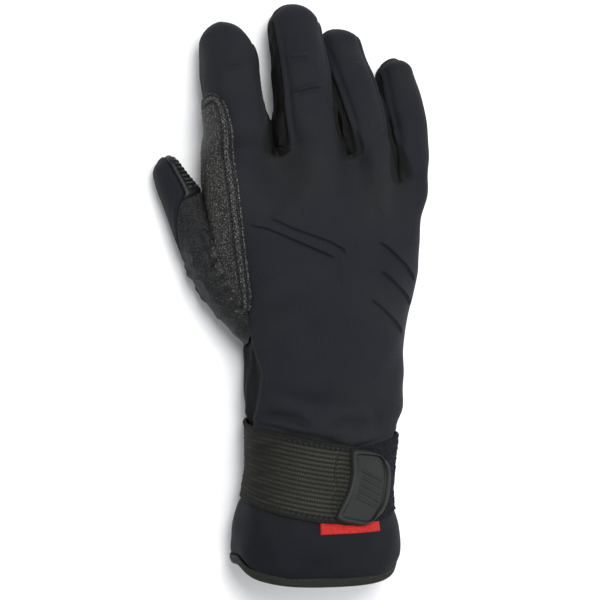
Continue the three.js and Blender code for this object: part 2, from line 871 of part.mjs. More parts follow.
add('back_panel', sewnPiece('back_panel', NEOPRENE), NEOPRENE_FINISH);
add('palm_panel', sewnPiece('palm_panel', PALM_LEATHER), GRIP_FINISH);
add('wrist_gusset', sewnPiece('wrist_gusset', NEOPRENE), SIDE_FINISH);
for (const name of SIDE_PIECES) {
  add(name, sewnPiece(name, SIDE_CLOTH), SIDE_FINISH);
}
add('thumb_back', thumbPiece('thumb_back', NEOPRENE), NEOPRENE_FINISH);
add('thumb_pad', thumbPiece('thumb_pad', PALM_LEATHER), RIB_FINISH);
add('thumb_web', thumbPiece('thumb_web', PALM_LEATHER), GRIP_FINISH);
add('index_guard', guardSolid(), GRIP_FINISH);
add('cuff', sewnPiece('cuff', NEOPRENE), CUFF_FINISH);
add('hem_binding', hemTapeSolid(), TAPE_FINISH);
add('wrist_strap', bandSolid(STRAP_LINE, STRAP_WIDTH, 36), ELASTIC_FINISH);
add('strap_landing', bandSolid(LANDING_LINE, LANDING_WIDTH, 22), LOOP_FINISH);
add('pull_tab', tabSolid(), RUBBER_FINISH);
add('label', labelSolid(), LABEL_FINISH);

export default group;
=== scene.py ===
"""Looks of a water rescue glove for the right hand, which lies palm down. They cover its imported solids.

The tables are in millimetres and measured as the solids are: x to the little finger, y up from the
hem, z out of the back of the hand. to_metres() moves a finished shape into the frame's place.
"""

import functools
import math

import bpy
import numpy as np
from mathutils import Matrix, Vector


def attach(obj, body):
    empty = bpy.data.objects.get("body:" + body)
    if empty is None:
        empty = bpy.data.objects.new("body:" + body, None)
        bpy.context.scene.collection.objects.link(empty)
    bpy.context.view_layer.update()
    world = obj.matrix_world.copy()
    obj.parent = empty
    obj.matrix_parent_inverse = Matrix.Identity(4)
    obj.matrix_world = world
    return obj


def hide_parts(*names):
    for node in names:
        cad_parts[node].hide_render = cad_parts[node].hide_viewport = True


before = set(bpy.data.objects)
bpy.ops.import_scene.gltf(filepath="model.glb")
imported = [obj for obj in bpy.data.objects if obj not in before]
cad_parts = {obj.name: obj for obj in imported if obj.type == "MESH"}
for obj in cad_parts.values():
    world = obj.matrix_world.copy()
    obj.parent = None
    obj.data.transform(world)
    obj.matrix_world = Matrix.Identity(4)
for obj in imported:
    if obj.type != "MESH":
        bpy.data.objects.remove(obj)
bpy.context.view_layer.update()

TURN = 2 * math.pi
# Sizes of the sewn form, in millimetres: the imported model's, with small changes to strips, thumb, hem and tab
ORIGIN_FROM_HEM = 135.0
CUFF_SEAM_Y = 57.5
HEM_SIDE_Y = 20.0
HEM_BACK_DROP = 15.0
HEM_THUMB_DROP = 5.0
HEM_PALM_DROP = 8.0
VALLEY_LENGTH = 38.0
VALLEY_DEPTH = 8.0
VALLEY_WIDTH = 0.28
WEB_RISE = 3.0
KNUCKLE_BLEND = 18.0
FORK_BLEND = 12.0
SPREAD_FROM = 100.0
SPREAD_OVER = 90.0
TIP_ROUNDING = 0.9
ROUND_TIP = 0.5
SLIM_TIP = 0.68
HAND_ROUNDNESS = 2.45
FINGER_ROUNDNESS = 2.2
STRIP_END = 0.9
STRIP_TAPER = 0.06

# How finely the surfaces are divided
BACK_COLUMNS = 36
PALM_COLUMNS = 18
CUFF_ROWS = 42
HAND_ROWS = 180
FINGER_ROWS = 74
DOME_ROWS = 16
SIDE_COLUMNS = 7

# Sections of cuff, wrist and hand: y, centre, half width, lowest z, z of the widest line, highest z
HAND = [
    [0, -1.0, 37.4, 1.2, 25, 49], [10, -1.0, 38.6, 1.2, 25, 50], [20, -1.0, 39.8, 1.2, 25, 51],
    [30, -0.6, 39.6, 1.5, 25, 50], [42, 0.1, 35.9, 3.0, 25, 47], [57, 1.8, 34.8, 4.0, 25, 45],
    [76, 3.0, 35.8, 3.0, 25, 47], [92, 3.5, 37.6, 0.0, 25, 50], [114, 3.6, 38.8, -1.5, 25, 51],
    [128, 3.2, 40.8, -1.5, 25, 51], [139, 2.0, 44.0, -1.5, 25, 51], [150, 0.6, 48.0, -1.5, 25, 50],
    [162, -0.9, 50.7, -1.0, 26, 49.5], [176, -0.8, 52.8, 0.5, 26, 49], [190, 0.5, 54.7, 3.0, 26, 48],
    [206, 0.7, 54.9, 5.0, 26, 46],
]
# Angles of the finger divisions: division, at the wrist, at the crotch
BACK_ANGLES = [[0, 180, 180], [1, 123, 112.9], [2, 72, 81.7], [3, 21, 51.5], [4, -30, -30]]
PALM_ANGLES = [[0, 180, 180], [1, 213, 247.1], [2, 252, 278.3], [3, 291, 308.5], [4, 330, 330]]
# Thumb-side seam: y, degrees above the widest line
THUMB_SIDE_SEAM = [
    [0, 4], [57, 4], [76, 6], [81, 9], [87, 15], [95, 22], [102.5, 25.5], [110, 21], [119, 14],
    [130, 5], [140, 8], [206, 10],
]
# Crotches: division, y on the back, y on the palm
CROTCH_LINE = [[0, 200, 200], [1, 205, 209], [2, 205, 210], [3, 193, 199], [4, 186, 186]]
# Half the angle of a side strip, by share of the finger's length
SIDE_STRIP = [[0, 34], [0.3, 28], [0.6, 22], [0.86, 15]]
# The thumb-side strip of the ring finger is wider than the others on the back
RING_STRIP = 1.35
INDEX_SEAM = 170.0
LITTLE_SEAM = -30.0
# Seams round the thumb: distance along it and degrees round it, then its palm seam and where its pad starts
THUMB_SEAM = [
    [0, 225], [40, 222], [48, 212], [54, 200], [61, 182], [72, 154], [78, 128], [83, 99], [102, 107],
]
THUMB_PALM_SEAM = -110.0
THUMB_PAD_FROM = 79.6
# Guard: y, reach on the back, reach on the palm, in finger divisions
GUARD_REACH = [
    [130, 0.12, 0.1], [132.5, 0.32, 0.2], [136, 0.41, 0.27], [142, 0.48, 0.34], [151, 0.55, 0.38],
    [166, 0.58, 0.4], [184, 0.54, 0.4], [203, 0.47, 0.38], [214, 0.42, 0.36], [223, 0.375, 0.34],
    [229, 0.3, 0.3], [232, 0.16, 0.2],
]
# Middle lines of strap and landing: degrees round the wrist and y
STRAP_LINE = [[76, 50.2], [99, 53], [130, 56.8], [180, 62.8], [210, 64.5], [250, 64], [299.6, 60.5]]
LANDING_LINE = [[-60, 60.5], [-30, 59], [10, 57], [40, 54], [66, 51.4], [75.3, 50.2]]
# Sides of the tab: share along it, then degrees and y of its left side and of its right side
TAB_SIDES = [
    [0, 93.0, 34.5, 71, 31], [0.18, 88.6, 40, 55, 37.5], [0.42, 83.6, 48.4, 46, 46],
    [0.65, 81.9, 56.7, 44.5, 54.5], [0.85, 83.8, 64.0, 49, 61.5], [1, 86.4, 69.0, 61, 66.5],
]
# Label: degrees, y of its lower and of its upper edge
LABEL_EDGES = [[57.5, 28.2, 32.2], [66, 28, 32], [80, 27.6, 31], [96.5, 27.3, 32.4]]


def run_lengths(line):
    """Distance run along a broken line up to each of its points."""
    return np.concatenate([[0.0], np.cumsum(np.linalg.norm(np.diff(line, axis=0), axis=1))])


def along_path(rows):
    """Puts the length of the broken line through a path's points in front of each row."""
    rows = np.array(rows, float)
    return np.column_stack([run_lengths(rows[:, :3]), rows])


# Middle lines of the fingers: x, y, z, half width, half thickness
INDEX = along_path([
    [-38.5, 201, 27.5, 15.0, 14.5], [-41.5, 222, 29, 13.7, 13.5], [-42.6, 240, 25.5, 13.7, 13],
    [-42.0, 255, 18.5, 13.2, 12], [-41.5, 266, 13, 11.6, 10.5],
])
MIDDLE = along_path([
    [-5, 203, 29.5, 16, 15], [-8.5, 225, 32, 13.8, 13.5], [-9.6, 245, 28, 12.9, 12.7],
    [-9, 262, 19.5, 12.4, 11.5], [-7.8, 274.5, 13, 11, 10.5],
])
RING = along_path([
    [24.0, 200, 28, 11.9, 14], [20.2, 222, 29, 11.5, 12.5], [16.8, 240, 24.5, 11.4, 12],
    [14.8, 254, 17, 10.8, 11], [12.6, 264.8, 13, 9.3, 9.8],
])
LITTLE = along_path([
    [46.9, 187, 24.5, 10.1, 12.5], [46.0, 207, 26, 9.7, 11.5], [45.0, 224, 22, 10.0, 11],
    [44.7, 239, 16, 9.5, 10], [44.2, 252, 11.5, 7.8, 8.5],
])
FINGERS = [INDEX, MIDDLE, RING, LITTLE]
THUMB = along_path([
    [-21, 116, 22, 10, 13], [-31, 132, 20, 13.2, 14.5], [-43.0, 147, 18, 13.5, 14.5],
    [-52.6, 166, 16, 12.5, 13.3], [-60.3, 182, 14, 10.7, 11.8], [-65.9, 194, 12.5, 9.0, 10.4],
    [-70.2, 204.5, 10.8, 7.2, 8.8],
])


def curve(table, key):
    """Cubic through the rows of a table, with each slope taken from the rows beside it."""
    rows = np.asarray(table, float)
    knots = rows[:, 0]
    last = len(rows) - 1
    index = np.arange(last + 1)
    before = rows[np.maximum(index - 1, 0)]
    after = rows[np.minimum(index + 1, last)]
    slopes = (after[:, 1:] - before[:, 1:]) / (after[:, :1] - before[:, :1])
    key = np.asarray(key, float)
    i = np.clip(np.searchsorted(knots, key, side="right") - 1, 0, last - 1)
    step = (knots[i + 1] - knots[i])[..., None]
    q = np.clip((key - knots[i])[..., None] / step, 0, 1)
    values = (
        (2 * q**3 - 3 * q**2 + 1) * rows[i, 1:]
        + (q**3 - 2 * q**2 + q) * step * slopes[i]
        + (3 * q**2 - 2 * q**3) * rows[i + 1, 1:]
        + (q**3 - q**2) * step * slopes[i + 1]
    )
    return np.moveaxis(values, -1, 0)


def lerp(a, b, q):
    """The value a share q of the way from a to b."""
    return a + (b - a) * q


def smooth(value):
    """Rises from 0 to 1 as 3q squared minus 2q cubed."""
    q = np.clip(value, 0, 1)
    return q * q * (3 - 2 * q)


def rounded(value, exponent):
    """A cosine or sine with its size raised to two over the exponent, for the corners of a superellipse."""
    return np.sign(value) * np.abs(value) ** (2 / exponent)


def unit(vectors):
    """Vectors divided by their lengths."""
    length = np.linalg.norm(vectors, axis=-1, keepdims=True)
    return vectors / np.maximum(length, 1e-12)


def hand_point(degrees, y):
    """The superellipse section of the hand at height y, at an angle from the little-finger side, never below
    the ground."""
    degrees, y = np.broadcast_arrays(np.asarray(degrees, float), np.asarray(y, float))
    centre, half, low, widest, high = curve(HAND, y)
    side = rounded(np.cos(np.radians(degrees)), HAND_ROUNDNESS)
    rise = rounded(np.sin(np.radians(degrees)), HAND_ROUNDNESS)
    z = widest + np.where(rise > 0, high - widest, widest - low) * rise
    return np.stack([centre + half * side, y, np.maximum(z, 0)], -1)


def column_angle(angles, division, y):
    """The angle of a finger division, which spreads from its wrist to its crotch value, less the lift of the
    thumb-side seam, which fades as the square of the way across the first division."""
    wrist, crotch = curve(angles, division)
    (above,) = curve(THUMB_SIDE_SEAM, y)
    angle = lerp(wrist, crotch, smooth((y - SPREAD_FROM) / SPREAD_OVER))
    return angle - above * np.maximum(0, 1 - division) ** 2


def crotch_y(division, side):
    """Height where the fingers part, by the cubic through the crotch line, on the back or on the palm."""
    back, palm = curve(CROTCH_LINE, division)
    return np.where(side > 0, back, palm)


def valley(division, y, side):
    """Bell-shaped valleys that run down from the three crotches, and deepen to them as a smooth step to the
    power of 1.5."""
    start = crotch_y(division, side) - VALLEY_LENGTH
    depth = VALLEY_DEPTH * smooth((y - start) / VALLEY_LENGTH) ** 1.5
    return depth * sum(np.exp(-(((division - crotch) / VALLEY_WIDTH) ** 2)) for crotch in (1, 2, 3))


def skin_point(division, y, side):
    """The hand's section with the valleys sunk straight into it. Side is 1 on the back and -1 on the palm."""
    division, y, side = np.broadcast_arrays(np.asarray(division, float), np.asarray(y, float), side)
    back = column_angle(BACK_ANGLES, division, y)
    palm = column_angle(PALM_ANGLES, division, y)
    point = hand_point(np.where(side > 0, back, palm), y)
    point[..., 2] = np.maximum(point[..., 2] - side * valley(division, y, side), 0)
    return point


def web_point(division, share):
    """The arc of a web, from its crotch on the back to its crotch on the palm, bowed by a half sine."""
    back = skin_point(division, crotch_y(division, 1), 1)
    palm = skin_point(division, crotch_y(division, -1), -1)
    share = np.asarray(share, float)
    point = lerp(back, palm, share[:, None])
    point[:, 1] += WEB_RISE * np.sin(np.pi * share)
    return point


def path_frame(path, along):
    """Sizes, centre and the two directions across a path at distances along it."""
    length = path[-1, 0]
    here = curve(path, np.minimum(along, length))
    ahead = curve(path, np.minimum(along + 0.5, length))[:3]
    behind = curve(path, np.maximum(np.minimum(along, length) - 0.5, 0))[:3]
    tangent = unit(np.moveaxis(ahead - behind, 0, -1))
    across = unit(np.cross(tangent, [0.0, 0.0, 1.0]))
    return here, across, np.cross(across, tangent)


def tube_point(path, along, degrees, dome, extra=0.0):
    """The superellipse across a finger's middle line, shrunk by the dome factor at the tip."""
    here, across, up = path_frame(path, along)
    side = rounded(np.cos(np.radians(degrees)), FINGER_ROUNDNESS)
    rise = rounded(np.sin(np.radians(degrees)), FINGER_ROUNDNESS)
    centre = np.moveaxis(here[:3], 0, -1)
    point = (
        centre
        + across * ((here[3] * dome + extra) * side)[..., None]
        + up * ((here[4] * dome + extra) * rise)[..., None]
    )
    point[..., 2] = np.maximum(point[..., 2], 0)
    return point


def finger_rows(path, count, dome_rows, power=ROUND_TIP):
    """Even distances along a finger, then the sines of a quarter turn over its domed tip. The tip's width is
    one minus the square of the way over it, to a power: one half for a round tip, or more for a slim one."""
    length = path[-1, 0]
    radius = TIP_ROUNDING * path[-1, 4]
    share = np.sin(np.pi / 2 * np.arange(dome_rows + 1) / dome_rows)
    straight = (length - radius) * np.arange(1, count) / count
    along = np.concatenate([straight, length - radius + radius * share])
    dome = np.concatenate([np.ones(count - 1), np.maximum(0, 1 - share**2) ** power])
    return along, dome


def finger_point(path, base, along, degrees, dome, web):
    """The hand's skin carried along the finger and blended into its tube: slowly over the knuckle, quickly
    beside a web."""
    centre = np.moveaxis(curve(path, np.minimum(along, path[-1, 0]))[:3], 0, -1)
    carried = base + centre - path[0, 1:4]
    carried[..., 2] = np.maximum(carried[..., 2], 0)
    knuckle = smooth(along / KNUCKLE_BLEND)
    fork = 1 - (1 - np.minimum(along / FORK_BLEND, 1)) ** 2
    share = lerp(knuckle, fork, web)[..., None]
    return lerp(carried, tube_point(path, along, degrees, dome), share)


def strip_angle(path, along):
    """Half angle of the side strip, which closes to a point near the fingertip as a power of 0.6."""
    share = along / path[-1, 0]
    close = np.clip((STRIP_END - share) / STRIP_TAPER, 0, 1) ** 0.6
    return curve(SIDE_STRIP, share)[0] * close


def hem_y(degrees):
    """Height of the slanted hem round the cuff: level past both sides, then soon down to the back and late
    to the palm, and a little lower past the thumb side."""
    rise = np.sin(np.radians(degrees))
    thumb = HEM_THUMB_DROP * smooth((-np.cos(np.radians(degrees)) - 0.6) / 0.4)
    size = (np.sqrt(rise**2 + 0.01) - 0.1) / 0.905
    back = HEM_BACK_DROP * size * 1.5 / (size + 0.5)
    palm = HEM_PALM_DROP * smooth((-rise - 0.3) / 0.7)
    return HEM_SIDE_Y - np.hypot(thumb, np.where(rise > 0, back, palm))


def sleeve_columns():
    """Division and side of each column round the sleeve: the back from the thumb side, then the palm on the
    way back."""
    back = np.linspace(0, 4, 4 * BACK_COLUMNS + 1)
    palm = np.linspace(4, 0, 4 * PALM_COLUMNS + 1)[1:]
    division = np.concatenate([back, palm])
    side = np.concatenate([np.ones(len(back)), -np.ones(len(palm))])
    return division, side


def sleeve_grid():
    """Cuff and hand: the skin at even shares from the hem to the cuff's seam, and on to the crotches."""
    division, side = sleeve_columns()
    wrist = np.zeros_like(division)
    back, palm = (column_angle(angles, division, wrist) for angles in (BACK_ANGLES, PALM_ANGLES))
    hem = hem_y(np.where(side > 0, back, palm))
    low = np.linspace(0, 1, CUFF_ROWS + 1)[:, None]
    high = np.linspace(0, 1, HAND_ROWS + 1)[1:, None]
    top = crotch_y(division, side)
    y = np.concatenate([lerp(hem, CUFF_SEAM_Y, low), lerp(CUFF_SEAM_Y, top, high)])
    return skin_point(division, y, side), division, side


def finger_grid(number):
    """A finger's rows from the crotch line to the tip, with columns over its back, little-finger side, palm
    and thumb side. Over the knuckle they leave the hand at its own slope, which fades out as a cubic."""
    path = FINGERS[number]
    first, last = number == 0, number == 3
    along, dome = finger_rows(path, FINGER_ROWS, DOME_ROWS, SLIM_TIP if last else ROUND_TIP)
    strip = strip_angle(path, along)
    raised = strip * (RING_STRIP if number == 2 else 1)
    q_back = np.linspace(0, 1, BACK_COLUMNS + 1)
    q_palm = np.linspace(1, 0, PALM_COLUMNS + 1)[1:]
    q_far = np.linspace(0, 1, SIDE_COLUMNS + 1)[1:]
    q_near = np.linspace(1, 0, SIDE_COLUMNS + 1)[1:]
    near = np.full_like(strip, INDEX_SEAM) if first else 180 - raised
    near_palm = np.full_like(strip, INDEX_SEAM) if first else 180 + strip
    far = np.full_like(strip, LITTLE_SEAM) if last else strip
    far_palm = np.full_like(strip, LITTLE_SEAM) if last else -strip

    def web_share(q):
        """Square of the nearness to a web."""
        thumb_side = 0 * q if first else (1 - q) ** 2
        little_side = 0 * q if last else q**2
        return np.maximum(thumb_side, little_side)

    def crotch_point(q, side):
        """The hand's skin on the crotch line."""
        return skin_point(number + q, crotch_y(number + q, side), side)

    def crotch_slope(q, side):
        """Slope of the hand's skin over the last millimetre below the crotch line."""
        top = crotch_y(number + q, side)
        return crotch_point(q, side) - skin_point(number + q, top - 1, side)

    parts = [("back", crotch_point(q_back, 1), web_share(q_back), q_back, near, far)]
    if not last:
        parts.append(("far", web_point(number + 1.0, q_far), 1 + 0 * q_far, q_far, far, far_palm))
    parts.append(("palm", crotch_point(q_palm, -1), web_share(q_palm), q_palm, near_palm - 360, far_palm))
    if not first:
        parts.append(("near", web_point(number + 0.0, q_near), 1 + 0 * q_near, q_near, near, near_palm))
    names = np.concatenate([[part[0]] * len(part[3]) for part in parts])
    base, web = (np.concatenate([part[k] for part in parts]) for k in (1, 2))
    degrees = np.concatenate([lerp(start[:, None], end[:, None], q) for *_, q, start, end in parts], axis=1)
    rows = np.broadcast_to(along[:, None], degrees.shape)
    grid = finger_point(path, base[None], rows, degrees, dome[:, None], web[None])
    slope = (grid[0] - base) / along[0]
    wanted = slope.copy()
    wanted[names == "back"] = crotch_slope(q_back, 1)
    wanted[names == "palm"] = crotch_slope(q_palm, -1)
    bend = (wanted - slope) * (1 - web**4)[:, None]
    fade = along * (1 - np.minimum(along / KNUCKLE_BLEND, 1)) ** 2
    return np.concatenate([base[None], grid + bend * fade[:, None, None]]), names


# Thicknesses of the sewn walls and of the layers on them
NEOPRENE = 3.0
PALM_LEATHER = 2.5
SIDE_CLOTH = 2.0
SEAM_INSET = 0.12
LAYER_GAP = 0.1
GUARD_THICKNESS = 1.1
BAND_THICKNESS = 1.5
STRAP_WIDTH = 38.0
LANDING_WIDTH = 36.0
TAB_BASE = 1.75
TAB_RIM = 3.6
TAB_FACE = 2.3
LABEL_THICKNESS = 0.55
# Faces this deep inside the neighbouring tube aren't made
HIDDEN_DEPTH = 1.2
# Faces that meet at a sharper turn than this keep a crisp edge
SHARP_ANGLE = math.radians(60)

# Raised lines pressed into the back of the hand: strength, then x and y on the glove, from the thumb side
PRESSED_LINES = [
    (1.0, [[-40.5, 171.8], [-32.7, 170.2], [-22.0, 166.0], [-11.2, 161.4], [1.2, 156.2]]),
    (0.9, [[-31.9, 175.4], [-21.8, 171.0], [-14.1, 168.2], [-3.1, 164.4], [3.9, 160.8], [6.0, 156.6]]),
    (0.3, [[4.6, 160.0], [1.8, 155.7], [2.6, 150.1], [3.9, 141.8]]),
    (0.35, [[20.5, 181.0], [24.5, 179.0], [28.5, 175.0]]),
    (1.0, [[21.9, 165.1], [27.8, 161.8], [32.4, 158.0], [38.6, 152.6], [44.6, 145.4]]),
    (1.0, [[22.9, 151.8], [28.2, 148.2], [32.0, 144.6], [38.0, 139.4], [43.6, 133.6]]),
    (0.9, [[17.0, 138.6], [26.5, 131.2], [32.0, 127.3], [35.6, 124.2], [38.9, 120.0]]),
]
# How far a pressed line stands up on its one side and cuts in on the other
PRESSED_RISE = 1.25
PRESSED_CUT = 0.3
# Folds of the slack wrist above the strap: depth, then x and y on the glove
WRIST_FOLDS = [
    (1.25, [[-33.0, 84.0], [-25.0, 83.6], [-18.0, 82.2], [-13.2, 79.8], [-12.0, 75.4]]),
    (0.7, [[-4.0, 79.0], [5.0, 80.6], [14.0, 79.4], [20.0, 76.0]]),
]
# The rounded feet of the side strips on the back: crotch and half width
STRIP_FEET = [[1, 5.7], [2, 5.2], [3, 5.6]]
# Creases over the finger joints and below the crotches: x and y of both ends, and depth. Their middles lie
# a little higher
CREASE_RISE = 0.5
CREASE_ENDS = [
    [-17.6, 249.0, -6.6, 250.2, 1.0], [-18.3, 232.8, -2.8, 236.4, 1.35], [-50.4, 244.4, -37.6, 245.6, 0.7],
    [13.4, 247.4, 21.4, 246.8, 0.4], [-28.1, 198.4, -22.6, 198.6, 0.3], [2.3, 197.8, 12.0, 198.4, 0.4],
    [-15.8, 269.0, -7.5, 269.6, 0.35], [40.6, 226.4, 48.6, 225.2, 0.35],
]
JOINT_CREASES = [
    (depth, [[x0, y0], [(x0 + x1) / 2, (y0 + y1) / 2 + CREASE_RISE], [x1, y1]])
    for x0, y0, x1, y1, depth in CREASE_ENDS
]
# A distance that is beyond every feature
FAR = 99.0


def ripple(points, wavelength, seed, stretch=(1, 1, 1), waves=28):
    """Seeded unevenness: a sum of cosine waves of one length in random directions, of unit variance."""
    rng = np.random.default_rng(seed)
    directions = unit(rng.normal(size=(waves, 3))) * np.array(stretch)
    phases = rng.uniform(0, TURN, waves)
    total = np.zeros(points.shape[:-1])
    for direction, phase in zip(directions, phases):
        total += np.cos(points @ direction * (TURN / wavelength) + phase)
    return total / math.sqrt(waves / 2)


def bell(value, width):
    """Falls from 1 on both sides as e to the minus square of value over width."""
    return np.exp(-((value / width) ** 2))


def line_distance(points, line):
    """Signed distance in the plane to a broken line, more than 0 on its left, and the distance along it to
    its nearer end."""
    line = np.array(line, float)
    start, step = line[:-1], np.diff(line, axis=0)
    length = np.linalg.norm(step, axis=1)
    offset = points[..., None, :2] - start
    share = np.clip((offset * step).sum(-1) / length**2, 0, 1)
    gap = offset - share[..., None] * step
    distance = np.linalg.norm(gap, axis=-1)
    nearest = distance.argmin(-1)[..., None]
    side = np.sign(step[:, 0] * offset[..., 1] - step[:, 1] * offset[..., 0])
    along = np.concatenate([[0], np.cumsum(length)])[:-1] + share * length
    along = np.take_along_axis(along, nearest, -1)[..., 0]
    signed = np.take_along_axis(distance * side, nearest, -1)[..., 0]
    return signed, np.minimum(along, length.sum() - along)


def band_edge(points, line, width):
    """How far points lie outside a band on the wrist, which is less than 0 under it, and their height above
    its middle."""
    centre, half, _, widest, _ = curve(HAND, points[..., 1])
    degrees = np.degrees(np.arctan2(points[..., 2] - widest, points[..., 0] - centre))
    degrees = np.where(degrees < line[0][0], degrees + 360, degrees)
    first, last = line[0][0], line[-1][0]
    nearer_first = first + 360 - degrees < degrees - last
    (middle,) = curve(line, np.where(nearer_first, first, np.minimum(degrees, last)))
    beyond = np.minimum(degrees - last, first + 360 - degrees)
    beyond = np.radians(np.maximum(beyond, 0)) * half
    outside = np.abs(points[..., 1] - middle) - width / 2
    return np.where(beyond > 0, np.hypot(beyond, np.maximum(outside, 0)), outside), points[..., 1] - middle


def soft_relief(points):
    """The slack of the foam rubber: broad unevenness, and beside the tight strap a bulge that rises steeply
    and dies away as an exponential, more on the hand's side."""
    height = 0.42 * ripple(points, 34, 3) + 0.16 * ripple(points, 15, 4)
    strap, above = band_edge(points, STRAP_LINE, STRAP_WIDTH)
    landing, _ = band_edge(points, LANDING_LINE, LANDING_WIDTH)
    beside = np.minimum(strap, landing)
    edge = np.maximum(beside, 0)
    hand_side = smooth(above / 6)
    pucker = (1.0 + 1.3 * hand_side) * (1 + 0.2 * ripple(points, 17, 5, (1, 0.2, 1)))
    height += pucker * (1 - np.exp(-edge / 1.2)) * np.exp(-edge / lerp(8.5, 5.5, hand_side))
    folds = 0.55 * ripple(points, 24, 17, (0.5, 1.6, 0.5)) - 0.8 * bell(edge - 15, 6)
    height += hand_side * np.exp(-edge / 22) * folds
    return height * smooth((points[..., 1] - 2) / 14) * smooth((beside + 2.5) / 3)


def back_relief(points):
    """What is pressed into the back: a soft rise above each line that drops sharply along it, creases at the
    joints with a swell on one side, and folds of the wrist between two swells."""
    height = np.zeros(points.shape[:-1])
    upper = smooth((points[..., 2] - 14) / 10)
    for strength, line in PRESSED_LINES:
        signed, to_end = line_distance(points, line)
        fade = strength * smooth(to_end / 4.5)
        rise = np.exp(-np.maximum(signed, 0) / 3.2) * smooth((signed + 0.5) / 1.2)
        height += fade * (PRESSED_RISE * rise - PRESSED_CUT * bell(signed + 0.6, 0.6))
    for depth, line in JOINT_CREASES:
        signed, to_end = line_distance(points, line)
        swell = 1.05 * bell(signed - 0.7, 0.9) - 0.4 * bell(signed + 0.8, 0.8)
        height += smooth(to_end / 4) * depth * swell
    for depth, line in WRIST_FOLDS:
        signed, to_end = line_distance(points, line)
        swell = 1.0 * bell(signed - 4.6, 3.6) + 0.7 * bell(signed + 3.6, 2.6) - 1.0 * bell(signed, 2.0)
        height += smooth(to_end / 6) * depth * swell
    return height * upper


def line_marks(points):
    """Distance to the nearest line or crease of the back, and the painted shade that a pressed line or a fold
    lays on a point, as a bell across it that fades to its ends."""
    nearest = np.full(len(points), FAR)
    # Painted shade along the pressed lines and in the wrist folds
    dark = np.zeros(len(points))
    for strength, line in PRESSED_LINES:
        signed, to_end = line_distance(points, line)
        nearest = np.minimum(nearest, np.abs(signed))
        dark = np.maximum(dark, strength * smooth(to_end / 4.5) * bell(signed + 0.4, 0.45))
    for _, line in JOINT_CREASES:
        nearest = np.minimum(nearest, np.abs(line_distance(points, line)[0]))
    for depth, line in WRIST_FOLDS:
        signed, to_end = line_distance(points, line)
        dark = np.maximum(dark, 1.1 * depth * smooth(to_end / 5) * bell(signed, 1.7))
    upper = points[:, 2] > 14
    return np.where(upper, nearest, FAR), np.where(upper, dark, 0.0)


def strip_feet(points):
    """How far points on the back lie outside the rounded foot of a side strip, which narrows up between two
    fingers."""
    nearest = np.full(points.shape[:-1], FAR)
    for number, radius in STRIP_FEET:
        foot = skin_point(number, crotch_y(number, 1), 1)
        ahead = (curve(FINGERS[number - 1], 24)[:3] + curve(FINGERS[number], 24)[:3]) / 2
        onward = unit((ahead - foot)[:2])
        offset = points[..., :2] - foot[:2] - onward * (radius - 1.4)
        along = offset @ onward
        aside = np.abs(offset @ np.array([-onward[1], onward[0]]))
        narrow = lerp(radius, 2.6, smooth(along / 16))
        gap = np.where(along < 0, np.hypot(along, aside), aside) - narrow
        gap = np.where((along > 20) | (points[..., 2] < foot[2] - 12), FAR, gap)
        nearest = np.minimum(nearest, gap)
    return nearest


def fold_relief(points, seed, wavelength, stretch):
    """Sharp folds of slack cloth: one minus twice the size of an uneven wave, which gives narrow ridges."""
    wave = ripple(points, wavelength, seed, stretch)
    return 1 - 2 * np.minimum(np.abs(wave), 1)


def cells(ids):
    """The four corners of each cell of a grid of point numbers."""
    return np.stack([ids[:-1, :-1], ids[:-1, 1:], ids[1:, 1:], ids[1:, :-1]], -1).reshape(-1, 4)


def halved(quads):
    """Two triangles for each row of four corners: all the first halves, then all the second ones."""
    return np.concatenate([quads[:, [0, 1, 2]], quads[:, [0, 2, 3]]])


def join_grids(grids):
    """Joins grids of points into one skin with shared points. Each cell becomes two triangles, which keep the
    cell's label and the cloth coordinates of its corners."""
    points, quads, cloth, labels, start = [], [], [], [], 0
    for grid, place, names in grids:
        count = grid.shape[0] * grid.shape[1]
        quad = cells(np.arange(count).reshape(grid.shape[:2]))
        quads.append(quad + start)
        cloth.append(place.reshape(-1, 2)[quad])
        points.append(grid.reshape(-1, 3))
        labels.append(names.reshape(-1))
        start += count
    points = np.concatenate(points)
    keys = np.round(points * 100).astype(np.int64)
    _, first, inverse = np.unique(keys, axis=0, return_index=True, return_inverse=True)
    triangles = halved(inverse.reshape(-1)[np.concatenate(quads)])
    cloth = halved(np.concatenate(cloth))
    labels = np.tile(np.concatenate(labels), 2)
    a, b, c = triangles.T
    real = (a != b) & (b != c) & (c != a)
    return points[first], triangles[real], cloth[real], labels[real]


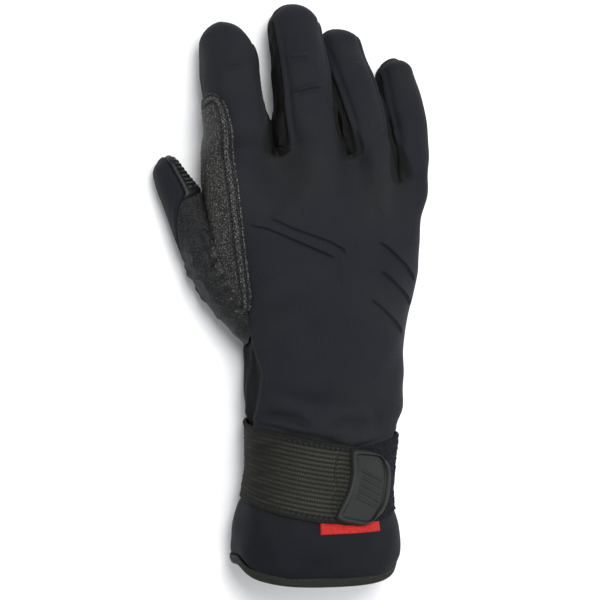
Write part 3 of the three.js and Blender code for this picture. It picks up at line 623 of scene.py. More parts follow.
def refined(points, triangles, cloth, labels, marked):
    """Halves every edge between two marked points. A triangle of three such points becomes four, and one
    of two becomes two. The new points follow the old ones."""
    corner = marked[triangles]
    hits = corner.sum(1)
    turn = np.where(hits == 2, np.argmin(corner, axis=1) + 1, 0)
    order = (turn[:, None] + np.arange(3)) % 3
    triangles = np.take_along_axis(triangles, order, 1)
    cloth = np.take_along_axis(cloth, order[..., None], 1)
    two, three = hits == 2, hits == 3
    sides = [triangles[three][:, side] for side in ([0, 1], [1, 2], [2, 0])]
    edges = np.concatenate([triangles[two][:, :2], *sides])
    pairs, found = np.unique(np.sort(edges, axis=1), axis=0, return_inverse=True)
    middle = np.split(found.reshape(-1) + len(points), np.cumsum([two.sum(), three.sum(), three.sum()]))
    points = np.concatenate([points, points[pairs].mean(1)])
    a, b, c = triangles[two].T
    d = middle[0]
    halves = [np.stack([a, d, c], 1), np.stack([d, b, c], 1)]
    p, q, r = (cloth[two][:, k] for k in range(3))
    s = (p + q) / 2
    halves_cloth = [np.stack([p, s, r], 1), np.stack([s, q, r], 1)]
    a, b, c = triangles[three].T
    d, e, f = middle[1:]
    quarters = [np.stack(t, 1) for t in ((a, d, f), (d, b, e), (f, e, c), (d, e, f))]
    p, q, r = (cloth[three][:, k] for k in range(3))
    s, t, u = (p + q) / 2, (q + r) / 2, (r + p) / 2
    quarters_cloth = [np.stack(x, 1) for x in ((p, s, u), (s, q, t), (u, t, r), (s, t, u))]
    whole = hits < 2
    return (
        points, np.concatenate([triangles[whole], *halves, *quarters]),
        np.concatenate([cloth[whole], *halves_cloth, *quarters_cloth]),
        np.concatenate([labels[whole], np.tile(labels[two], 2), np.tile(labels[three], 4)]),
    )


def point_normals(points, triangles):
    """Mean of the face normals round each point, weighted by area."""
    a, b, c = (points[triangles[:, k]] for k in range(3))
    face = np.cross(b - a, c - a)
    normals = np.zeros_like(points)
    for k in range(3):
        np.add.at(normals, triangles[:, k], face)
    return unit(normals)


def border_points(count, triangles, labels):
    """Points that faces with different labels share."""
    low = np.full(count, labels.max() + 1)
    high = np.full(count, -1)
    for k in range(3):
        np.minimum.at(low, triangles[:, k], labels)
        np.maximum.at(high, triangles[:, k], labels)
    return (low != high) & (high >= 0)


def nearest_distance(points, targets):
    """Distance from each point to the nearest target, in blocks of rows."""
    square = (targets**2).sum(1)
    found = [
        (block**2).sum(1) + (square - 2 * block @ targets.T).min(1)
        for block in np.array_split(points, max(1, len(points) // 4000))
    ]
    return np.sqrt(np.maximum(np.concatenate(found), 0))


def open_edges(triangles, count):
    """Directed edges that only one triangle uses."""
    edges = np.concatenate([triangles[:, [0, 1]], triangles[:, [1, 2]], triangles[:, [2, 0]]])
    owner = np.tile(np.arange(len(triangles)), 3)
    key = edges[:, 0] * count + edges[:, 1]
    back = edges[:, 1] * count + edges[:, 0]
    alone = ~np.isin(key, back)
    return edges[alone], owner[alone]


def sewn_wall(points, inner, normals, triangles, cloth, lining, lining_cloth):
    """One piece as a closed wall: outer faces, the coarser lining faces turned round, and a rim between them.
    The rim is drawn in from the seam lines by the inset. Returns points, faces and cloth coordinates, and the
    skin point that each point is of."""
    used, local = np.unique(triangles, return_inverse=True)
    behind, below = np.unique(lining, return_inverse=True)
    triangles, below = local.reshape(-1, 3), below.reshape(-1, 3)
    outer, inner, normals = points[used].copy(), inner[behind].copy(), normals[used]
    count = len(used)
    edges, owner = open_edges(triangles, count)
    along = outer[edges[:, 1]] - outer[edges[:, 0]]
    inward = np.cross(normals[edges[:, 0]], along)
    move = np.zeros_like(outer)
    np.add.at(move, edges[:, 0], inward)
    np.add.at(move, edges[:, 1], inward)
    move = unit(move) * SEAM_INSET
    outer += move
    inner += move[np.searchsorted(used, behind)]
    a, b = edges.T
    c, d = count + np.searchsorted(behind, used[edges]).T
    rim = np.concatenate([np.stack([b, a, c], 1), np.stack([b, c, d], 1)])
    corner = cloth[owner][:, :1]
    rim_cloth = np.repeat(np.concatenate([corner, corner]), 3, axis=1)
    faces = np.concatenate([triangles, below[:, [0, 2, 1]] + count, rim])
    places = np.concatenate([cloth, lining_cloth[:, [0, 2, 1]], rim_cloth])
    return (np.concatenate([outer, inner]), faces, places), np.concatenate([used, behind])


def grid_lengths(grid):
    """Distances along each row and each column of a grid of points."""
    across = np.linalg.norm(np.diff(grid, axis=1), axis=2)
    onward = np.linalg.norm(np.diff(grid, axis=0), axis=2)
    u = np.concatenate([np.zeros((len(grid), 1)), np.cumsum(across, 1)], 1)
    v = np.concatenate([np.zeros((1, grid.shape[1])), np.cumsum(onward, 0)], 0)
    return u, v


def grid_normals(grid):
    """Cross product of the steps along rows and columns, as unit vectors."""
    return unit(np.cross(np.gradient(grid, axis=1), np.gradient(grid, axis=0)))


def closed_slab(top, bottom, place):
    """Top and bottom grids joined by a rim into one closed body. Returns points, triangles and the cloth
    coordinates of their corners."""
    count = top.shape[0] * top.shape[1]
    ids = np.arange(count).reshape(top.shape[:2])
    face = halved(cells(ids))
    loop = np.concatenate([ids[0, :-1], ids[:-1, -1], ids[-1, :0:-1], ids[:0:-1, 0]])
    ahead = np.roll(loop, -1)
    below = loop + count
    rim = np.concatenate([np.stack([ahead, loop, below], 1), np.stack([ahead, below, ahead + count], 1)])
    triangles = np.concatenate([face, face[:, [0, 2, 1]] + count, rim])
    place = np.concatenate([place.reshape(-1, 2)] * 2)
    return np.concatenate([top.reshape(-1, 3), bottom.reshape(-1, 3)]), triangles, place[triangles]


def edge_distance(grid, power=6.0):
    """Distance to the nearest edge of a grid. The four distances are joined by the sum of their inverse
    powers, which rounds the corners of its contours."""
    u, v = grid_lengths(grid)
    gaps = np.stack([u, u[:, -1:] - u, v, v[-1:] - v])
    return (np.maximum(gaps, 1e-3) ** -power).sum(0) ** (-1 / power)


def quarter_round(distance, width):
    """Rises from 0 to 1 over a width as a quarter circle."""
    share = np.clip(distance / width, 0, 1)
    return np.sqrt(1 - (1 - share) ** 2)


def ease(count, amount=0.6):
    """Shares from 0 to 1 that lie closer together near both ends: even ones mixed with a half cosine."""
    even = np.linspace(0, 1, count)
    return lerp(even, 0.5 - 0.5 * np.cos(np.pi * even), amount)


def pebbles(u, v, size, seed):
    """Grains of leather: the distance to the nearest of seeded points, one in each square cell, and a random
    value for that grain."""
    rng = np.random.default_rng(seed)
    table = rng.random((64, 64, 3))
    x, y = u / size, v / size
    column, row = np.floor(x).astype(int), np.floor(y).astype(int)
    best = np.full(x.shape, 9.0)
    shade = np.zeros(x.shape)
    for i in (-1, 0, 1):
        for j in (-1, 0, 1):
            cell = table[(row + j) % 64, (column + i) % 64]
            distance = np.hypot(column + i + cell[..., 0] - x, row + j + cell[..., 1] - y)
            nearer = distance < best
            best = np.where(nearer, distance, best)
            shade = np.where(nearer, cell[..., 2], shade)
    return best, shade


def beyond_section(x, z, half, reach, roundness):
    """Distance of a place to a superellipse along its own radius, less than 0 inside."""
    measure = (np.abs(x / half) ** roundness + np.abs(z / reach) ** roundness) ** (1 / roundness)
    return np.hypot(x, z) * (1 - 1 / np.maximum(measure, 1e-3))


def depth_in_hand(points):
    """Distance to the hand's section along its own radius, less than 0 inside."""
    centre, half, low, widest, high = curve(HAND, points[..., 1])
    x, z = points[..., 0] - centre, points[..., 2] - widest
    reach = np.where(z > 0, high - widest, widest - low)
    return beyond_section(x, z, half, reach, HAND_ROUNDNESS)


def beside_thumb(points, samples):
    """For each point the nearest of the samples on the thumb's middle line: its distance along the thumb, the
    point's place across, up and ahead from there, and the half sizes there."""
    along = np.linspace(0, THUMB[-1, 0], samples)
    here, across, up = path_frame(THUMB, along)
    centres = here[:3].T
    nearest = ((centres**2).sum(1) - 2 * points @ centres.T).argmin(1)
    offset = points - centres[nearest]
    x, z, ahead = ((offset * axis[nearest]).sum(1) for axis in (across, up, np.cross(up, across)))
    return along[nearest], x, z, ahead, here[3:5, nearest]


def depth_in_thumb(points):
    """Distance to the thumb's tube along its own radius, less than 0 inside, and ahead of its root."""
    along, x, z, ahead, (half, thick) = beside_thumb(points.reshape(-1, 3), 260)
    depth = beyond_section(x, z, half, thick, FINGER_ROUNDNESS)
    return np.maximum(depth, np.where(along == 0, -ahead, -FAR)).reshape(points.shape[:-1])


def lifted(points, normals, height):
    """Points moved out along their normals, but never below the ground."""
    moved = points + normals * height[..., None]
    moved[..., 2] = np.maximum(moved[..., 2], 0)
    return moved


def to_metres(points):
    """Millimetres from the hem as metres from the middle of the frame."""
    return (points - np.array([0, ORIGIN_FROM_HEM, 0])) / 1000


def make_piece(name, points, triangles, cloth, material, node=None, marks=None):
    """Puts a shape's arrays into a mesh that rides on the glove in place of a node, with its cloth
    coordinates in millimetres at the corners and its marks at the points."""
    mesh = bpy.data.meshes.new(name)
    mesh.vertices.add(len(points))
    mesh.loops.add(3 * len(triangles))
    mesh.polygons.add(len(triangles))
    mesh.vertices.foreach_set("co", to_metres(points).astype(np.float32).ravel())
    mesh.loops.foreach_set("vertex_index", triangles.astype(np.int32).ravel())
    mesh.polygons.foreach_set("loop_start", np.arange(0, 3 * len(triangles), 3, dtype=np.int32))
    mesh.polygons.foreach_set("use_smooth", np.ones(len(triangles), bool))
    mesh.update(calc_edges=True)
    places = np.zeros((3 * len(triangles), 3), np.float32)
    places[:, :2] = cloth.reshape(-1, 2)
    mesh.attributes.new("cloth", "FLOAT_VECTOR", "CORNER").data.foreach_set("vector", places.ravel())
    for mark, values in (marks or {}).items():
        data = mesh.attributes.new(mark, "FLOAT", "POINT").data
        data.foreach_set("value", values.astype(np.float32).ravel())
    mesh.set_sharp_from_angle(angle=SHARP_ANGLE)
    mesh.materials.append(material)
    piece = bpy.data.objects.new(name, mesh)
    bpy.context.scene.collection.objects.link(piece)
    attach(piece, "root")
    if node:
        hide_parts(node)


def make_layer(name, base, normals, low, high, materials, node, marks=None):
    """A layer sewn on the glove: a grid lifted to its low height below and its high height above, with its
    marks on both. Returns the upper grid."""
    top = lifted(base, normals, high)
    bottom = lifted(base, normals, np.broadcast_to(low, high.shape))
    shape = closed_slab(top, bottom, np.stack(grid_lengths(base), -1))
    marks = {mark: np.tile(values.ravel(), 2) for mark, values in (marks or {}).items()}
    make_piece(name, *shape, materials[node], node, marks)
    return top


# The sewn skin of cuff, hand and fingers, with the thickness of each piece's wall
WALLS = {
    "cuff": NEOPRENE, "back_panel": NEOPRENE, "palm_panel": PALM_LEATHER, "wrist_gusset": NEOPRENE,
    "fourchette_index_middle": SIDE_CLOTH, "fourchette_middle_ring": SIDE_CLOTH,
    "fourchette_ring_little": SIDE_CLOTH,
}
# Their numbers in that order, with the first of the three side strips
CUFF, BACK, PALM, GUSSET, FIRST_STRIP = range(5)
# The dark gusset on the palm side: its share of the first finger's width, and its y from and to
GUSSET_SHARE = 0.75
GUSSET_LOW = 68.0
GUSSET_HIGH = 140.0
# Columns on the thumb side of the index finger that the back panel covers above the guard
INDEX_WRAP = 5
# The index fingertip slopes to the middle finger: x and y where the slope starts, how soon, and its steepness
INDEX_LEAN = (-46.0, 246, 22, 0.3)
# How far up each side strip is pressed together between its fingers, how much it bulges, and its least folds
STRIP_FILLS = [[13, 2.3, 0.25], [30, 2.1, 0.75], [36, 1.9, 0.25]]
# Distances from a line of the back within which its points are set twice and four times as close
FINER_REACH = (2.6, 1.2)
# How far the tape is pressed into the cuff's foam rubber
HEM_PRESS = 0.6


def cloth_place(grid, middle_column, offset):
    """Cloth coordinates: distance round each row from its middle column, and height along the columns."""
    u, v = grid_lengths(grid)
    return np.stack([u - u[:, middle_column:middle_column + 1] + offset, v + grid[0, :, 1]], -1)


def sleeve_labels(grid, division, side):
    """Cuff below its seam, the back, and on the palm the dark gusset beside the thumb-side seam."""
    height = (grid[:-1, :-1, 1] + grid[1:, 1:, 1]) / 2
    middle = (division[:-1] + division[1:]) / 2
    back = np.broadcast_to(side[1:] > 0, height.shape)
    gusset = (middle < GUSSET_SHARE) & ~back & (height > GUSSET_LOW) & (height < GUSSET_HIGH)
    names = np.where(gusset, GUSSET, np.where(back, BACK, PALM))
    names[:CUFF_ROWS] = CUFF
    return names


def hand_skin():
    """The sleeve and the four fingers as one skin, with a label for each face. The index fingertip is lowered
    by a share of how far a point lies to the middle finger's side, which rises smoothly up the finger."""
    grid, division, side = sleeve_grid()
    grid[:, -1] = grid[:, 0]
    place = cloth_place(grid, 2 * BACK_COLUMNS, 0.0)
    grids = [(grid, place, sleeve_labels(grid, division, side))]
    for number in range(4):
        finger, names = finger_grid(number)
        codes = {"back": BACK, "palm": PALM, "far": FIRST_STRIP + number, "near": FIRST_STRIP + number - 1}
        labels = np.array([codes[name] for name in names[1:]])
        if number == 0:
            x, y, over, slope = INDEX_LEAN
            finger[..., 1] -= slope * np.maximum(finger[..., 0] - x, 0) * smooth((finger[..., 1] - y) / over)
            labels[-INDEX_WRAP:] = BACK
        finger[:, -1] = finger[:, 0]
        labels = np.broadcast_to(labels, (len(finger) - 1, len(labels)))
        offset = place[-1, int((number + 0.5) * BACK_COLUMNS), 0]
        grids.append((finger, cloth_place(finger, BACK_COLUMNS // 2, offset), labels))
    return join_grids(grids)


def seam_profile(distance):
    """A sewn seam as three bells: a narrow groove, a puff, and a shallow line where its allowance is sewn."""
    return -0.6 * bell(distance, 0.7) + 0.28 * bell(distance - 1.9, 1.1) - 0.2 * bell(distance - 4.2, 0.9)


def on_label(count, triangles, labels, code):
    """Which of the skin's points lie on the faces with a label, its borders included."""
    return np.isin(np.arange(count), triangles[labels == code])


def build_hand(materials):
    """The skin of the hand, divided more finely beside the pressed lines, lifted by its relief and cut into
    pieces. The relief is the slack, the seam grooves, the back's lines, the folds of each piece, the lip
    beside the gusset and the hem's tape, less a groove round the thumb's root."""
    points, lining, lining_cloth, lining_labels = hand_skin()
    triangles, cloth, labels = lining, lining_cloth, lining_labels
    for reach in FINER_REACH:
        borders = border_points(len(points), triangles, labels)
        marked = (line_marks(points)[0] < reach) & (nearest_distance(points, points[borders]) > 1.5)
        points, triangles, cloth, labels = refined(points, triangles, cloth, labels, marked)
    count = len(points)
    normals = point_normals(points, triangles)
    borders = border_points(count, triangles, labels)
    gap = nearest_distance(points, points[borders])
    hem = nearest_distance(points, points[np.unique(open_edges(triangles, count)[0])])
    beside = nearest_distance(points, points[borders & on_label(count, triangles, labels, GUSSET)])
    on = [on_label(count, triangles, labels, code) & ~borders for code in range(len(WALLS))]
    inward = smooth(gap / 2.5)
    slack = soft_relief(points)
    height = slack + seam_profile(gap)
    feet = strip_feet(points)
    foot_profile = -0.4 * bell(feet, 0.9) + 0.4 * bell(feet - 1.9, 1.2) - 0.45 * smooth(-feet / 1.8)
    height += np.where(on[BACK], back_relief(points) + foot_profile, 0)
    for number, (reach, fill, least) in enumerate(STRIP_FILLS):
        above = points[:, 1] - crotch_y(number + 1, 1)
        folds = lerp(least, 1, bell(above - 4, 14)) * 0.75
        folds = folds * fold_relief(points, 11 + number, 13, (1.3, 0.35, 1.3))
        filled = fill * smooth((above + 2) / 6) * (1 - smooth((above - reach) / 8))
        height += np.where(on[FIRST_STRIP + number], inward * (folds + filled), 0)
    height += np.where(on[PALM], inward * (0.22 * fold_relief(points, 15, 30, (0.5, 1.3, 1))), 0)
    sunk = 0.5 * fold_relief(points, 16, 16, (1, 0.4, 1)) - 1.7
    height += np.where(on[GUSSET], smooth(gap / 2.2) * sunk, 0)
    height += np.where(on[BACK], 0.9 * bell(beside - 3, 3), 0)
    fingers = smooth((points[:, 1] - 205) / 10)
    height += np.where(on[BACK], fingers * (0.35 * bell(gap - 1.7, 0.9) - 0.3 * bell(gap - 3.8, 1.1)), 0)
    height += 0.5 * bell(hem - 6.5, 3.6) - HEM_PRESS * smooth((4.0 - hem) / 0.8)
    height -= 0.9 * bell(depth_in_thumb(points), 1.6)
    outer = lifted(points, normals, height)
    hidden = depth_in_thumb(points[triangles].mean(1)) < -HIDDEN_DEPTH
    hidden_lining = depth_in_thumb(points[lining].mean(1)) < -HIDDEN_DEPTH
    # The back's marks: the feet of the side strips, and painted shade along the pressed lines and wrist folds
    _, pressed = line_marks(points)
    back_marks = {"foot": smooth(0.5 - feet / 0.8), "pressed": pressed}
    for code, (name, wall) in enumerate(WALLS.items()):
        inner = lifted(points, normals, 0.4 * slack - wall)
        mask = (labels == code) & ~hidden
        back = (lining_labels == code) & ~hidden_lining
        body, source = sewn_wall(
            outer, inner, normals, triangles[mask], cloth[mask], lining[back], lining_cloth[back],
        )
        marks = {mark: values[source] for mark, values in back_marks.items()} if code == BACK else {}
        make_piece(f"{name}_sewn", *body, materials[name], name, marks)


# The thumb's faces: rows along it, columns on its front and on its back
THUMB_ROWS = 170
THUMB_FRONT = 72
THUMB_REAR = 56
THUMB_NAMES = ["thumb_back", "thumb_pad", "thumb_web"]
THUMB_WALLS = [NEOPRENE, PALM_LEATHER, PALM_LEATHER]
# The ribbed pad's side of the thumb is flatter towards the tip
PAD_THINNING = 3.6
PAD_RIB_PITCH = 2.0
# Crease where the thumb's root folds against the guard, as x and y on the glove
THUMB_CREASE = [[-57.6, 166.0], [-56.0, 160.0], [-52.9, 152.1], [-46.9, 141.9], [-44.0, 136.0]]


def thumb_skin():
    """The thumb's tube, with its smooth back, its ribbed pad and the pebbled web below the pad."""
    along, dome = finger_rows(THUMB, THUMB_ROWS, DOME_ROWS)
    along, dome = np.concatenate([[0], along]), np.concatenate([[1], dome])
    (seam,) = curve(THUMB_SEAM, along)
    front = np.linspace(0, 1, THUMB_FRONT + 1)
    back = np.linspace(0, 1, THUMB_REAR + 1)[1:]
    degrees = np.concatenate([
        lerp(seam[:, None], THUMB_PALM_SEAM, front), lerp(THUMB_PALM_SEAM, seam[:, None] - 360, back),
    ], 1)
    rows = np.broadcast_to(along[:, None], degrees.shape)
    dome = np.broadcast_to(dome[:, None], degrees.shape)
    thinned = -PAD_THINNING * np.maximum(np.cos(np.radians(degrees)), 0) * smooth((rows - 72) / 26) * dome
    grid = tube_point(THUMB, rows, degrees, dome, thinned)
    grid[:, -1] = grid[:, 0]
    labels = np.where(along[:-1, None] >= THUMB_PAD_FROM, 1, 2)
    labels = np.where(np.arange(degrees.shape[1] - 1) >= THUMB_FRONT, 0, labels)
    return join_grids([(grid, cloth_place(grid, THUMB_FRONT // 2, 0.0), labels)])


def build_thumb(materials):
    """The thumb's tube lifted by its relief and cut into pieces. The pad's ribs are one minus the size of a
    sine along the thumb, bent by a cosine round it. The web has sharp folds, most of all in the crook."""
    points, triangles, cloth, labels = thumb_skin()
    normals = point_normals(points, triangles)
    borders = border_points(len(points), triangles, labels)
    gap = nearest_distance(points, points[borders])
    along, x, z = beside_thumb(points, 400)[:3]
    bend = np.cos(np.arctan2(z, x) - math.radians(40))
    pad, web = (on_label(len(points), triangles, labels, code) & ~borders for code in (1, 2))
    phase = (along - THUMB_PAD_FROM) / PAD_RIB_PITCH + 2.2 * bend
    ribs = (1 - np.abs(np.sin(np.pi * phase)) ** 1.1) * smooth((gap - 1.4) / 2.0)
    height = 0.2 * ripple(points, 22, 6) + np.where(pad, -0.6 * bell(gap, 0.7), seam_profile(gap))
    height += np.where(pad, 0.5 * ribs - 0.25 * smooth((gap - 1.4) / 2.0), 0)
    aside, _ = line_distance(points, THUMB_CREASE)
    upper = smooth((points[:, 2] - 14) / 6)
    height += upper * (0.5 * bell(aside - 1.8, 1.6) - 0.8 * bell(aside, 0.8))
    crook = bell(along - 48, 16)
    folds = (0.3 + 0.5 * crook) * fold_relief(points, 13, 14, (1, 1.2, 0.6))
    height += np.where(web, smooth((gap - 0.6) / 1.6) * folds, 0)
    height += 0.28 * crook * fold_relief(points, 14, 15, (0.5, 1.4, 0.5)) * smooth(gap / 3)
    height -= 0.7 * bell(depth_in_hand(points), 1.5)
    outer = lifted(points, normals, height)
    hidden = depth_in_hand(points[triangles].mean(1)) < -HIDDEN_DEPTH
    for code, (name, wall) in enumerate(zip(THUMB_NAMES, THUMB_WALLS)):
        inner = lifted(points, normals, np.full(len(points), -wall))
        mask = (labels == code) & ~hidden
        body, source = sewn_wall(
            outer, inner, normals, triangles[mask], cloth[mask], triangles[mask], cloth[mask],
        )
        make_piece(f"{name}_sewn", *body, materials[name], name, {"rib": ribs[source]} if code == 1 else {})


def capsules(centres, forward, upward, length, radius):
    """Small stitches: one rounded rod of a few dozen faces, copied to every centre along its own directions.
    Its girth is the square root of one minus the cube of the way to its end."""
    turns = np.arange(6) * np.pi / 3
    share = np.array([-0.93, -0.6, 0.6, 0.93])
    girth = radius * np.sqrt(1 - np.abs(share) ** 3)
    x = np.concatenate([np.repeat(share, 6), [-1, 1]]) * length / 2
    y = np.concatenate([(girth[:, None] * np.cos(turns)).ravel(), [0, 0]])
    z = np.concatenate([(girth[:, None] * np.sin(turns)).ravel(), [0, 0]])
    sideways = unit(np.cross(upward, forward))
    axes = ((forward, x), (sideways, y), (upward, z))
    points = centres[:, None] + sum(axis[:, None] * size[:, None] for axis, size in axes)
    ids = np.pad(np.arange(24).reshape(4, 6), ((0, 0), (0, 1)), mode="wrap")
    first = np.stack([np.full(6, 24), ids[0, 1:], ids[0, :-1]], 1)
    last = np.stack([np.full(6, 25), ids[-1, :-1], ids[-1, 1:]], 1)
    faces = np.concatenate([halved(cells(ids)), first, last])
    faces = faces[None] + (np.arange(len(centres)) * 26)[:, None, None]
    return points.reshape(-1, 3), faces.reshape(-1, 3)


def stitch_line(line, normals, pitch, length, radius, sink):
    """Stitches at an even pitch along a line on a surface, sunk into it a little."""
    along = run_lengths(line)
    places = np.arange(pitch / 2, along[-1], pitch)
    at, ahead, behind = (
        np.stack([np.interp(places + step, along, line[:, k]) for k in range(3)], 1)
        for step in (0, 0.3, -0.3)
    )
    up = unit(np.stack([np.interp(places, along, normals[:, k]) for k in range(3)], 1))
    forward = unit(ahead - behind)
    forward = unit(forward - up * (forward * up).sum(1, keepdims=True))
    return capsules(at - up * sink, forward, up, length, radius)


def add_stitches(name, shapes, material):
    """Joins runs of stitches into one piece."""
    points = np.concatenate([shape[0] for shape in shapes])
    starts = np.cumsum([0] + [len(shape[0]) for shape in shapes[:-1]])
    faces = np.concatenate([shape[1] + start for shape, start in zip(shapes, starts)])
    make_piece(name, points, faces, np.zeros((len(faces), 3, 2)), material)


# Rows and columns of the layers' grids
GUARD_CELLS = (320, 112)
STRAP_CELLS = (150, 320)
LANDING_CELLS = (100, 190)
TAB_CELLS = (150, 100)
LABEL_CELLS = (26, 90)
# Guard: grains, the two stitched grooves, how far it is lifted where it laps over the thumb's root, and how
# many columns from its side on the back a groove is looked for in
GRAIN_PITCH = 0.95
GROOVE_INSETS = (1.5, 5.2)
GUARD_DRAPE = 5.0
GROOVE_COLUMNS = 85


def guard_grid(rows, columns):
    """The guard's outline spread over the skin of the hand and of the index finger's root."""
    y = lerp(GUARD_REACH[0][0], GUARD_REACH[-1][0], ease(rows, 0.3))[:, None]
    back, palm = curve(GUARD_REACH, y)
    division = lerp(-palm, back, ease(columns, 0.35))
    y = np.broadcast_to(y, division.shape)
    side = np.where(division < 0, -1, 1)
    q = np.abs(division)
    top = crotch_y(q, side)
    low = skin_point(q, np.minimum(y, top), side)
    above = np.maximum(y - top, 0)
    strip = strip_angle(INDEX, above)
    near = np.full_like(q, INDEX_SEAM)
    degrees = np.where(side > 0, lerp(near, strip, q), lerp(near - 360, -strip, q))
    high = finger_point(INDEX, skin_point(q, top, side), above, degrees, np.ones_like(q), q**2)
    return np.where((y <= top)[..., None], low, high)


def contour(grid, normals, distance, level, columns):
    """The line on a grid where the edge distance first reaches a level, one point for each row, from the last
    column inwards."""
    gaps = distance[:, columns]
    reached = gaps >= level
    step = reached.argmax(1)
    rows = np.nonzero(reached.any(1) & (step > 0))[0]
    step = step[rows]
    share = (level - gaps[rows, step - 1]) / (gaps[rows, step] - gaps[rows, step - 1])
    here = grid[:, columns]
    return lerp(here[rows, step - 1], here[rows, step], share[:, None]), normals[:, columns][rows, step]


def build_guard(materials):
    """Pebbled sheet with rounded edges and two stitched grooves that follow its outline on the back of the
    hand. Its grains are cones round seeded points, low in the middle and full beside the edge. It is lifted
    clear of the thumb's root, with a fold where the lift ends."""
    base = guard_grid(*GUARD_CELLS)
    depth = depth_in_thumb(base)
    lap = smooth((178 - base[..., 1]) / 20)
    fold = bell(depth + (GUARD_DRAPE - 0.8) * lap, 0.9) * (base[..., 1] < 200)
    base = lifted(base, grid_normals(base), np.clip(-depth, 0, GUARD_DRAPE) * lap)
    normals = grid_normals(base)
    slack = soft_relief(base)
    edge = edge_distance(base, 8)
    u, v = grid_lengths(base)
    grain, shade = pebbles(u, v, GRAIN_PITCH, 21)
    grain = np.clip(1 - grain / 0.62, 0, 1)
    rim = smooth((GROOVE_INSETS[1] + 0.6 - edge) / 1.0)
    height = slack + LAYER_GAP + GUARD_THICKNESS * quarter_round(edge, 1.3)
    height += 0.36 * grain * smooth(edge / 1.0) * (0.5 + 0.5 * rim)
    on_back = np.maximum(smooth((u - 8) / 4), smooth((15 - v) / 6))
    groove = np.zeros_like(edge)
    for inset in GROOVE_INSETS:
        groove = np.maximum(groove, np.minimum(1.7 * bell(edge - inset, 0.62), 1) * on_back)
    height -= 0.55 * groove + 0.5 * fold
    # The groove mark is painted shade: the two grooves and the fold are darkened in the finish
    groove = np.maximum(groove, 0.7 * fold)
    marks = {"rim": rim * on_back, "grain": grain, "shade": shade, "across": u / u[:, -1:], "groove": groove}
    top = make_layer(
        "index_guard_pebbled", base, normals, slack + LAYER_GAP, height, materials, "index_guard", marks,
    )
    inwards = np.arange(GUARD_CELLS[1] - 1, GUARD_CELLS[1] - 1 - GROOVE_COLUMNS, -1)
    shapes = []
    for inset in GROOVE_INSETS:
        line, up = contour(top[6:-4], normals[6:-4], edge[6:-4], inset, inwards)
        shapes.append(stitch_line(line, up, 2.5, 1.9, 0.28, -0.02))
    add_stitches("guard_stitches", shapes, materials["thread"])


# Strap: lengthwise ribs, the knots along them, and the columns of its two seams
RIB_COUNT = 17
KNOT_PITCH = 1.2
STRAP_SEAMS = (307, 299)


def band_grid(line, width, rows, columns):
    """A band round the wrist: an angle round the hand's section, and a height across the band that is eased
    to its edges. A bell round the thumb side draws it together by 7 in a hundred."""
    degrees = np.linspace(line[-1][0], line[0][0], columns)
    (middle,) = curve(line, degrees)
    u = ease(rows, 0.35)[:, None]
    squeeze = 1 - 0.07 * bell(degrees - 182, 34)
    across = ((u - 0.5) * squeeze - 0.5 * (1 - squeeze)) * width
    return hand_point(np.broadcast_to(degrees, (rows, columns)), middle + across)


def build_strap(materials):
    """Woven elastic: lengthwise cosine ribs with a knot at every crossing thread, which lie between the
    knots of the next rib, and flat selvedges with a row of pits. Where it is stretched the ribs break into
    streaks."""
    base = band_grid(STRAP_LINE, STRAP_WIDTH, *STRAP_CELLS)
    normals = grid_normals(base)
    u, v = grid_lengths(base)
    edge = np.minimum(v, v[-1:] - v)
    ends = np.minimum(u, u[:, -1:] - u)
    phase = v / v[-1:] * (RIB_COUNT + 1) * TURN
    rib = 0.5 + 0.5 * np.cos(phase)
    odd = np.floor(phase / TURN + 0.5) % 2 > 0
    knot = 0.5 + 0.5 * np.cos(u / KNOT_PITCH * TURN + np.where(odd, np.pi, 0))
    inside = smooth((edge - 1.6) / 1.2)
    height = BAND_THICKNESS * quarter_round(edge, 0.9) * (0.5 + 0.5 * quarter_round(ends, 1.0))
    stretched = 1 - smooth((46 - u[:, -1:] + u) / 22)
    knot = knot**1.5 * (1 - 0.75 * stretched)
    pits = (1 - 0.8 * stretched) * bell(edge - 2.9, 0.9) * bell(u % 2.6 - 1.3, 0.65)
    streaks = 1 - stretched * (0.45 + 0.25 * ripple(base, 7, 19, (0.4, 2.2, 0.4)))
    height += inside * (0.34 * rib * streaks * (0.4 + 0.6 * knot + 0.3 * stretched) - 0.22)
    height += 0.12 * ripple(base, 16, 7) - 0.65 * pits
    marks = {"rib": np.clip(rib * streaks, 0, 1) * inside * (1 - pits), "knot": knot * (1 - pits)}
    height += LAYER_GAP
    top = make_layer(
        "wrist_strap_elastic", base, normals, LAYER_GAP * 0.5, height, materials, "wrist_strap", marks,
    )
    shapes = [
        stitch_line(top[8:-8, column], normals[8:-8, column], 2.1, 1.6, 0.24, -0.08) for column in STRAP_SEAMS
    ]
    add_stitches("strap_stitches", shapes, materials["thread"])


def build_landing(materials):
    """Brushed loop fabric: a soft band with rounded selvedges, an uneven nap and a pressed-in seam line."""
    base = band_grid(LANDING_LINE, LANDING_WIDTH, *LANDING_CELLS)
    edge = edge_distance(base, 8)
    height = BAND_THICKNESS * quarter_round(edge, 1.1) + 0.1 * ripple(base, 4.5, 8)
    height += 0.12 * ripple(base, 1.9, 9)
    height -= 0.35 * bell(edge - 2.0, 0.6)
    height += LAYER_GAP
    normals = grid_normals(base)
    make_layer("strap_landing_loops", base, normals, LAYER_GAP * 0.5, height, materials, "strap_landing")


# Tab: width of its rim, grip ribs and their pitch
RIM_WIDTH = 2.6
GRIP_RIBS = 5
GRIP_PITCH = 3.4


